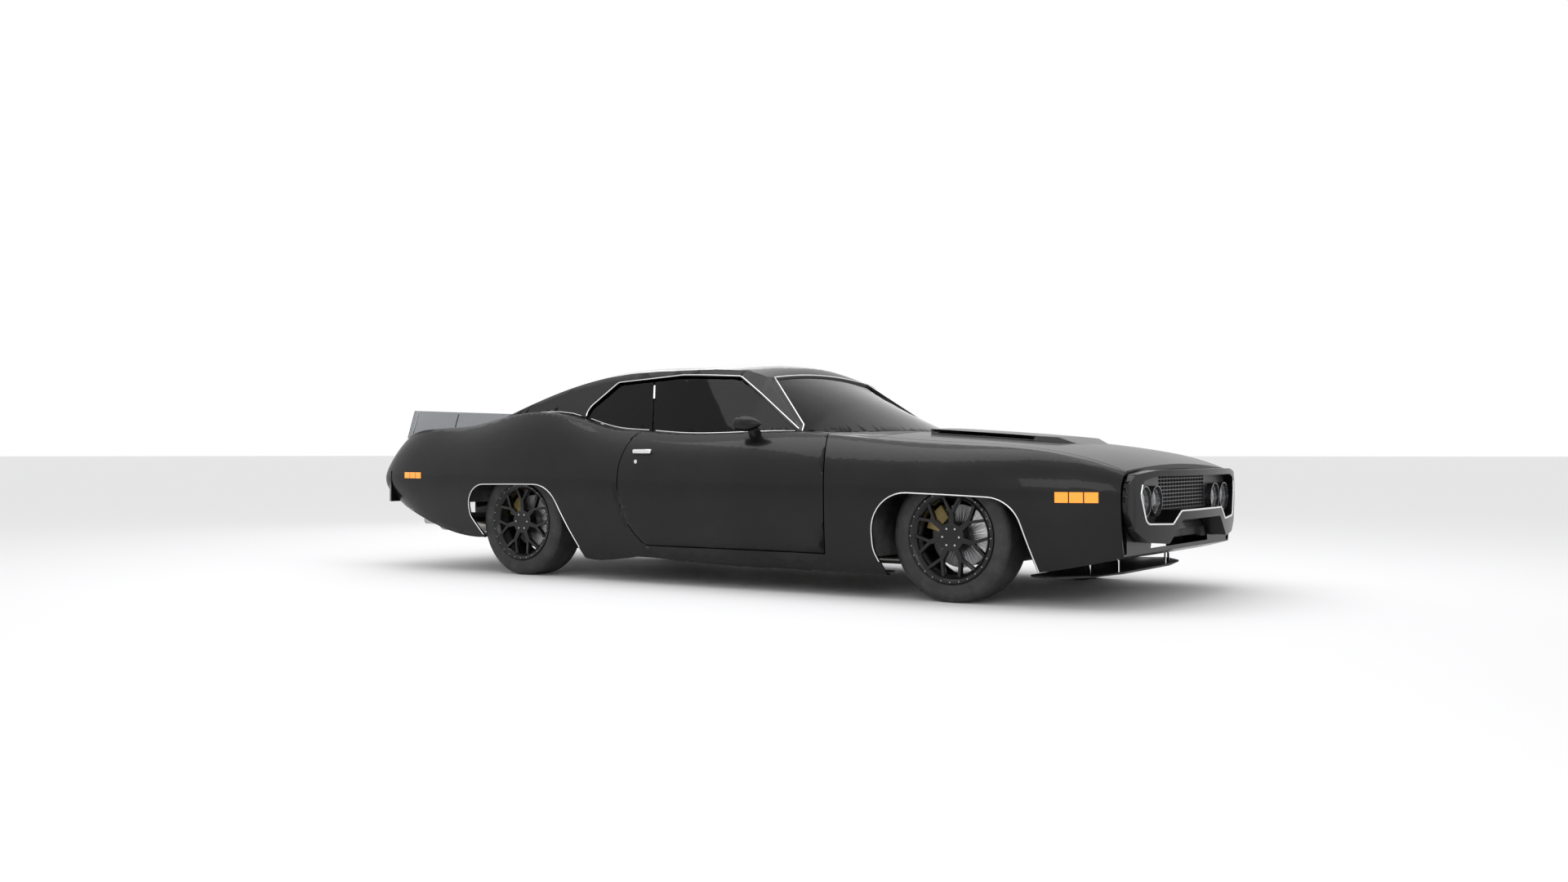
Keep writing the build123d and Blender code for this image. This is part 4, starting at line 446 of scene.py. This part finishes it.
def wheel_bolts(wheel, axle_x, side, count, circle, radius, proud):
    """Ring of hexagon bolts seated on a rim's outer face, as one piece."""
    rim_tree = surface_tree([f"rim_{wheel}"])
    deselect()
    heads = []
    for step in range(count):
        turn = 2 * math.pi * step / count
        x, z = axle_x + circle * math.cos(turn), AXLE_Z + circle * math.sin(turn)
        seat = on_side(rim_tree, x, z, side)
        if seat is None:
            continue
        bpy.ops.mesh.primitive_cylinder_add(vertices=6, radius=radius, depth=2 * proud,
                                            location=seat, rotation=(math.pi / 2, 0, 0))
        heads.append(bpy.context.object)
    for head in heads:
        head.select_set(True)
    bpy.context.view_layer.objects.active = heads[0]
    bpy.ops.object.join()
    piece = bpy.context.object
    bpy.ops.object.transform_apply(location=True, rotation=True, scale=True)
    piece.name = f"bolts_{round(circle * 1000)}_{wheel}"
    piece.data.materials.append(bolt_steel)
    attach(piece, f"wheel_{wheel}")


for wheel, (axle_x, side) in WHEELS.items():
    body = f"wheel_{wheel}"
    rings = ((axle_x, 0, AXLE_Z), 260.0)
    rubber = finish_material(f"tyre_rubber_{wheel}", (0.014, 0.014, 0.0145), 0.66, 0.12, 0.12,
                             14.0, relief=(1, 0.7),
                             tread=(axle_x, side * TYRE_MIDDLE_Y, AXLE_Z))
    smooth_copy(f"tyre_{wheel}", rubber, body, angle=35)
    wheel_bolts(wheel, axle_x, side, *RIM_BOLTS)
    wheel_bolts(wheel, axle_x, side, *CAP_BOLTS)
    disc_face = finish_material(f"brake_face_{wheel}", (0.5, 0.5, 0.51), 0.34, 0.1, 0.08, 14.0,
                                relief=(1, 0.12), rings=rings, Metallic=1.0)
    disc = smooth_copy(f"brake_disc_{wheel}", disc_face, body)
    paint_faces(disc, satin_black, lambda c, n: radius_from(c, axle_x) < HUB_RADIUS)
    smooth_copy(f"rim_{wheel}", rim_paint, body, angle=28)


body_sides = surface_tree(["front_fender_right", "front_fender_left", "door_right",
                           "door_left", "quarter_panel_right", "quarter_panel_left", "cowl"])
cabin_sides = surface_tree(["roof", "door_glass_left", "door_glass_right", "quarter_glass",
                            "windscreen", "rear_glass"])
nose = surface_tree(["front_bumper"])


def strip(name, points, radius, body):
    """Narrow round bar of bright trim swept along points, as a closed mesh."""
    curve = bpy.data.curves.new(name, "CURVE")
    curve.dimensions = "3D"
    curve.bevel_mode = "ROUND"
    curve.bevel_depth = radius
    curve.bevel_resolution = 2
    curve.use_fill_caps = True
    spline = curve.splines.new("POLY")
    spline.points.add(len(points) - 1)
    for place, point in zip(spline.points, points):
        place.co = (*point, 1)
    piece = bpy.data.objects.new(name, curve)
    bpy.context.scene.collection.objects.link(piece)
    choose(piece)
    bpy.ops.object.convert(target="MESH")
    piece = bpy.context.object
    bpy.ops.object.shade_smooth_by_angle(angle=math.radians(50))
    piece.data.materials.clear()
    piece.data.materials.append(chrome)
    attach(piece, body)


def from_above(tree, x, y, proud=0.0):
    """Point of the body's top at (x, y), or None where there is none."""
    hit = tree.ray_cast(Vector((x, y, 2.0)), Vector((0, 0, -1)))[0]
    return None if hit is None else hit + Vector((0, 0, proud))


def from_front(tree, y, z):
    """Point of the nose at (y, z), or None where it is open there."""
    return tree.ray_cast(Vector((4.0, y, z)), Vector((-1, 0, 0)))[0]


def found(points):
    """The points that lie on a surface."""
    return [point for point in points if point is not None]


ARCH_TRIM = 0.0035
ARCH_TRIM_MARGIN = 0.006
ARCH_TRIM_FOOT_Z = 0.17
ARCH_MIDDLE = Vector((0.05, 0.25))
for label, axle_x, outline, radii in (("front", FRONT_AXLE_X, FRONT_ARCH, FRONT_ARCH_RADII),
                                      ("rear", REAR_AXLE_X, REAR_ARCH, REAR_ARCH_RADII)):
    path = [point for point in subdivided(rounded(outline, radii, 10), 0.03)
            if point.y > ARCH_TRIM_FOOT_Z]
    for side_name, side in (("left", 1), ("right", -1)):
        points = []
        for point in path:
            place = point + (point - ARCH_MIDDLE).normalized() * ARCH_TRIM_MARGIN
            points.append(on_side(body_sides, axle_x + place.x, place.y, side))
        strip(f"arch_trim_{label}_{side_name}", found(points), ARCH_TRIM, "body")

WINDOW_TRIM = 0.004
WINDOW_TRIM_MARGIN = 0.008
WINDOW_MIDDLE = Vector((-0.15, 0.98))
POST_TRIM = 0.007
TRIM_PROUD = 0.002
BELT_X = {"door": (0.62, -0.36), "rear": (-0.41, -0.90)}
BELT_DECK_Y = 0.81
BELT_RISE = 0.004
GLASS_FOOT_RISE = 0.012
GLASS_FOOT_PROUD = 0.005
PILLAR_X = (-0.98, -1.47)
PILLAR_FOOT_Z = 0.950
PILLAR_Z_STEP = 0.004
PILLAR_Z_STEPS = 20


def along_x(ends, spacing):
    """Evenly spaced x positions between two ends."""
    return [place.x for place in subdivided([Vector((x, 0)) for x in ends], spacing)]


for side_name, side in (("left", 1), ("right", -1)):
    # Bright line round the side glass
    path = subdivided(rounded(SIDE_WINDOW, SIDE_WINDOW_RADII, 8), 0.04)
    points = []
    for point in path:
        place = point + (point - WINDOW_MIDDLE).normalized() * WINDOW_TRIM_MARGIN
        points.append(on_side(cabin_sides, place.x, place.y, side, TRIM_PROUD))
    strip(f"window_trim_{side_name}", found(points), WINDOW_TRIM, "body")

    # Post between the door glass and the rear side glass
    split = subdivided([Vector(point) for point in PANE_SPLIT], 0.05)
    points = [on_side(cabin_sides, point.x, point.y, side, TRIM_PROUD) for point in split]
    strip(f"post_trim_{side_name}", found(points), POST_TRIM, "body")

    # Belt line at the foot of the glass
    for label, body in (("door", body_of_node[f"door_{side_name}"]), ("rear", "body")):
        points = []
        for x in along_x(BELT_X[label], 0.06):
            deck = from_above(body_sides, x, side * BELT_DECK_Y)
            glass_foot = deck and on_side(cabin_sides, x, deck.z + GLASS_FOOT_RISE, side,
                                          GLASS_FOOT_PROUD)
            if glass_foot:
                points.append(Vector((x, glass_foot.y, deck.z + BELT_RISE)))
        strip(f"belt_trim_{label}_{side_name}", points, WINDOW_TRIM, body)

    # Foot of the rear pillar
    heights = [PILLAR_FOOT_Z + step * PILLAR_Z_STEP for step in range(PILLAR_Z_STEPS)]
    points = []
    for x in along_x(PILLAR_X, 0.04):
        points += found(on_side(cabin_sides, x, z, side) for z in heights)[:1]
    strip(f"pillar_trim_{side_name}", points, WINDOW_TRIM, "body")


def both_ways(points):
    """Half an outline of (along, across) points, with its mirror image before it."""
    return [Vector((x, -y)) for x, y in points] + [Vector((x, y)) for x, y in reversed(points)]


for name, outline in (("screen_trim", SCREEN_TRIM), ("backlight_trim", BACKLIGHT_TRIM)):
    path = subdivided(both_ways(outline), 0.05)
    points = found(from_above(cabin_sides, point.x, point.y, 0.001) for point in path)
    strip(name, points, WINDOW_TRIM, "body")

half_mouth = subdivided(rounded(MOUTH_TRIM, MOUTH_TRIM_RADII, 6), 0.03)
mouth_path = half_mouth + [Vector((-point.x, point.y)) for point in reversed(half_mouth[:-1])]
ROD_RADIUS = 0.005
strip("mouth_trim", found(from_front(nose, point.x, point.y) for point in mouth_path),
      ROD_RADIUS, "body")


def rounded_bar(name, low, high, radius, body):
    """Bright box between two corners with rounded edges."""
    deselect()
    middle = (Vector(low) + Vector(high)) / 2
    bpy.ops.mesh.primitive_cube_add(size=1, location=middle)
    piece = bpy.context.object
    piece.name = name
    piece.scale = Vector([abs(b - a) for a, b in zip(low, high)])
    bpy.ops.object.transform_apply(location=True, rotation=True, scale=True)
    bevel = piece.modifiers.new("edges", "BEVEL")
    bevel.width = radius
    bevel.segments = 3
    bpy.ops.object.modifier_apply(modifier=bevel.name)
    bpy.ops.object.shade_smooth_by_angle(angle=math.radians(40))
    piece.data.materials.append(chrome)
    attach(piece, body)


HANDLE_PROUD = 0.022
HANDLE_SUNK = 0.004
HANDLE_EDGE = 0.008
LOCK_RADIUS = 0.011
LOCK_DEPTH = 0.008
for side_name, side in (("left", 1), ("right", -1)):
    body = body_of_node[f"door_{side_name}"]
    seat = on_side(body_sides, sum(HANDLE_X) / 2, sum(HANDLE_Z) / 2, side)
    rounded_bar(f"door_handle_{side_name}",
                (HANDLE_X[0], seat.y - side * HANDLE_SUNK, HANDLE_Z[0]),
                (HANDLE_X[1], seat.y + side * HANDLE_PROUD, HANDLE_Z[1]), HANDLE_EDGE, body)
    lock_seat = on_side(body_sides, *LOCK, side)
    bpy.ops.mesh.primitive_cylinder_add(vertices=24, radius=LOCK_RADIUS, depth=LOCK_DEPTH,
                                        location=lock_seat, rotation=(math.pi / 2, 0, 0))
    lock = bpy.context.object
    lock.name = f"door_lock_{side_name}"
    bpy.ops.object.transform_apply(location=True, rotation=True, scale=True)
    lock.data.materials.append(chrome)
    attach(lock, body)

# Bright rods: supports of the spoiler, seen through its smoked blade, and of the splitter
SPOILER_RAKE = [(-2.388, 0.868), (-2.336, 1.004)]
SPOILER_RODS = {"outer_left": 0.80, "inner_left": 0.45, "inner_right": -0.45,
                "outer_right": -0.80}
for place, y in SPOILER_RODS.items():
    strip(f"spoiler_rod_{place}", [Vector((x, y, z)) for x, z in SPOILER_RAKE], ROD_RADIUS,
          body_of_node["spoiler"])

# Black strip at the windscreen's foot, bright splitter rods and mirror faces
STRIP_HALF = 0.62
SPLITTER_TOP = 0.150
paint_faces(skins["cowl"], satin_black, lambda c, n: n.z > 0.7 and abs(c.y) < STRIP_HALF)
paint_faces(skins["splitter"], chrome, lambda c, n: c.z > SPLITTER_TOP)
for side_name in ("left", "right"):
    paint_faces(skins[f"mirror_{side_name}"], mirror_face, lambda c, n: n.x < -0.95)


# Seats

CHANNEL_PITCH = 0.085
CHANNEL_WIDTH = 0.012
CHANNEL_DEPTH = 0.009
PLAIN_MARGIN = 0.06
SEAT_VOXEL = 0.016
FRONT_SEATS = {"middles": (-0.38, 0.38), "half": 0.24}
REAR_SEATS = {"middles": (-0.30, 0.30), "half": 0.30}


def padded_seat(node, middles, half):
    """Rounded, channelled upholstery in the place of a plain seat solid."""
    source = frame["nodes"][node]
    piece = bpy.data.objects.new(f"{node}_upholstery", source.data.copy())
    bpy.context.scene.collection.objects.link(piece)
    choose(piece)
    remesh = piece.modifiers.new("remesh", "REMESH")
    remesh.mode = "VOXEL"
    remesh.voxel_size = SEAT_VOXEL
    bpy.ops.object.modifier_apply(modifier=remesh.name)
    soften = piece.modifiers.new("soften", "SMOOTH")
    soften.factor = 0.5
    soften.iterations = 14
    bpy.ops.object.modifier_apply(modifier=soften.name)
    shifts = []
    for vertex in piece.data.vertices:
        middle = min(middles, key=lambda y: abs(vertex.co.y - y))
        offset = vertex.co.y - middle
        groove = abs((offset / CHANNEL_PITCH + 0.5) % 1 - 0.5) * CHANNEL_PITCH
        faces_out = max(vertex.normal.z, vertex.normal.x, 0)
        inside = abs(offset) < half - PLAIN_MARGIN
        depth = CHANNEL_DEPTH * math.exp(-(groove / CHANNEL_WIDTH) ** 2)
        shifts.append(depth if inside and faces_out > 0.6 else 0.0)
    for vertex, shift in zip(piece.data.vertices, shifts):
        vertex.co -= vertex.normal * shift
    finer = piece.modifiers.new("finer", "SUBSURF")
    finer.levels = 1
    bpy.ops.object.modifier_apply(modifier=finer.name)
    bpy.ops.object.shade_smooth()
    piece.data.materials.clear()
    piece.data.materials.append(leather)
    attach(piece, body_of_node[node])
    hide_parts(node)


for node in ("front_seat_cushions", "front_seat_backs"):
    padded_seat(node, **FRONT_SEATS)
for node in ("rear_seat_cushion", "rear_seat_back"):
    padded_seat(node, **REAR_SEATS)


# Stage, light and camera

FLOOR_SIZE = 900
deselect()
bpy.ops.mesh.primitive_plane_add(size=FLOOR_SIZE, location=(0, 0, 0))
floor = bpy.context.object
floor.name = "studio_floor"
floor_paint = bpy.data.materials.new("pale_floor")
floor_paint.use_nodes = True
floor_shader = floor_paint.node_tree.nodes["Principled BSDF"]
floor_shader.inputs["Base Color"].default_value = (0.80, 0.80, 0.81, 1)
floor_shader.inputs["Roughness"].default_value = 0.75
floor.data.materials.append(floor_paint)

world = bpy.data.worlds.new("studio")
bpy.context.scene.world = world
world.use_nodes = True
sky = world.node_tree.nodes["Background"]
sky.inputs["Color"].default_value = (1.0, 1.0, 1.0, 1)
rays = world.node_tree.nodes.new("ShaderNodeLightPath")
seen = math_node(world.node_tree, "MAXIMUM", rays.outputs["Is Camera Ray"],
                 rays.outputs["Is Glossy Ray"])
through = math_node(world.node_tree, "MAXIMUM", seen, rays.outputs["Is Transmission Ray"])
level = world.node_tree.nodes.new("ShaderNodeMapRange")
level.inputs["To Min"].default_value = 0.95
level.inputs["To Max"].default_value = 1.0
world.node_tree.links.new(through, level.inputs["Value"])
world.node_tree.links.new(level.outputs["Result"], sky.inputs["Strength"])


def soft_light(name, location, aim, size, energy):
    """Rectangular soft lamp at a place, turned towards its aim."""
    lamp = bpy.data.lights.new(name, "AREA")
    lamp.shape = "RECTANGLE"
    lamp.size, lamp.size_y = size
    lamp.energy = energy
    light = bpy.data.objects.new(name, lamp)
    light.location = location
    light.rotation_euler = (Vector(aim) - Vector(location)).to_track_quat("-Z", "Y").to_euler()
    bpy.context.scene.collection.objects.link(light)


soft_light("overhead", (0.3, -0.5, 4.6), (0, 0, 0.6), (6.5, 3.0), 120)
soft_light("side_fill", (3.2, -6.0, 2.6), (0, 0, 0.5), (4.5, 2.2), 60)
soft_light("rear_fill", (-4.5, 4.5, 3.2), (0, 0, 0.5), (4.0, 2.0), 60)

CAMERA_TURN = math.radians(34.352)
camera_data = bpy.data.cameras.new("photo_view")
camera_data.lens = 32.81
camera_data.sensor_width = 36.0
camera_data.shift_y = 16 / 1920
camera = bpy.data.objects.new("photo_view", camera_data)
camera.location = (4.89718, -7.15414, 0.73224)
camera.rotation_euler = (math.pi / 2, 0, CAMERA_TURN)
bpy.context.scene.collection.objects.link(camera)
bpy.context.scene.camera = camera
bpy.context.scene.view_settings.view_transform = "Standard"
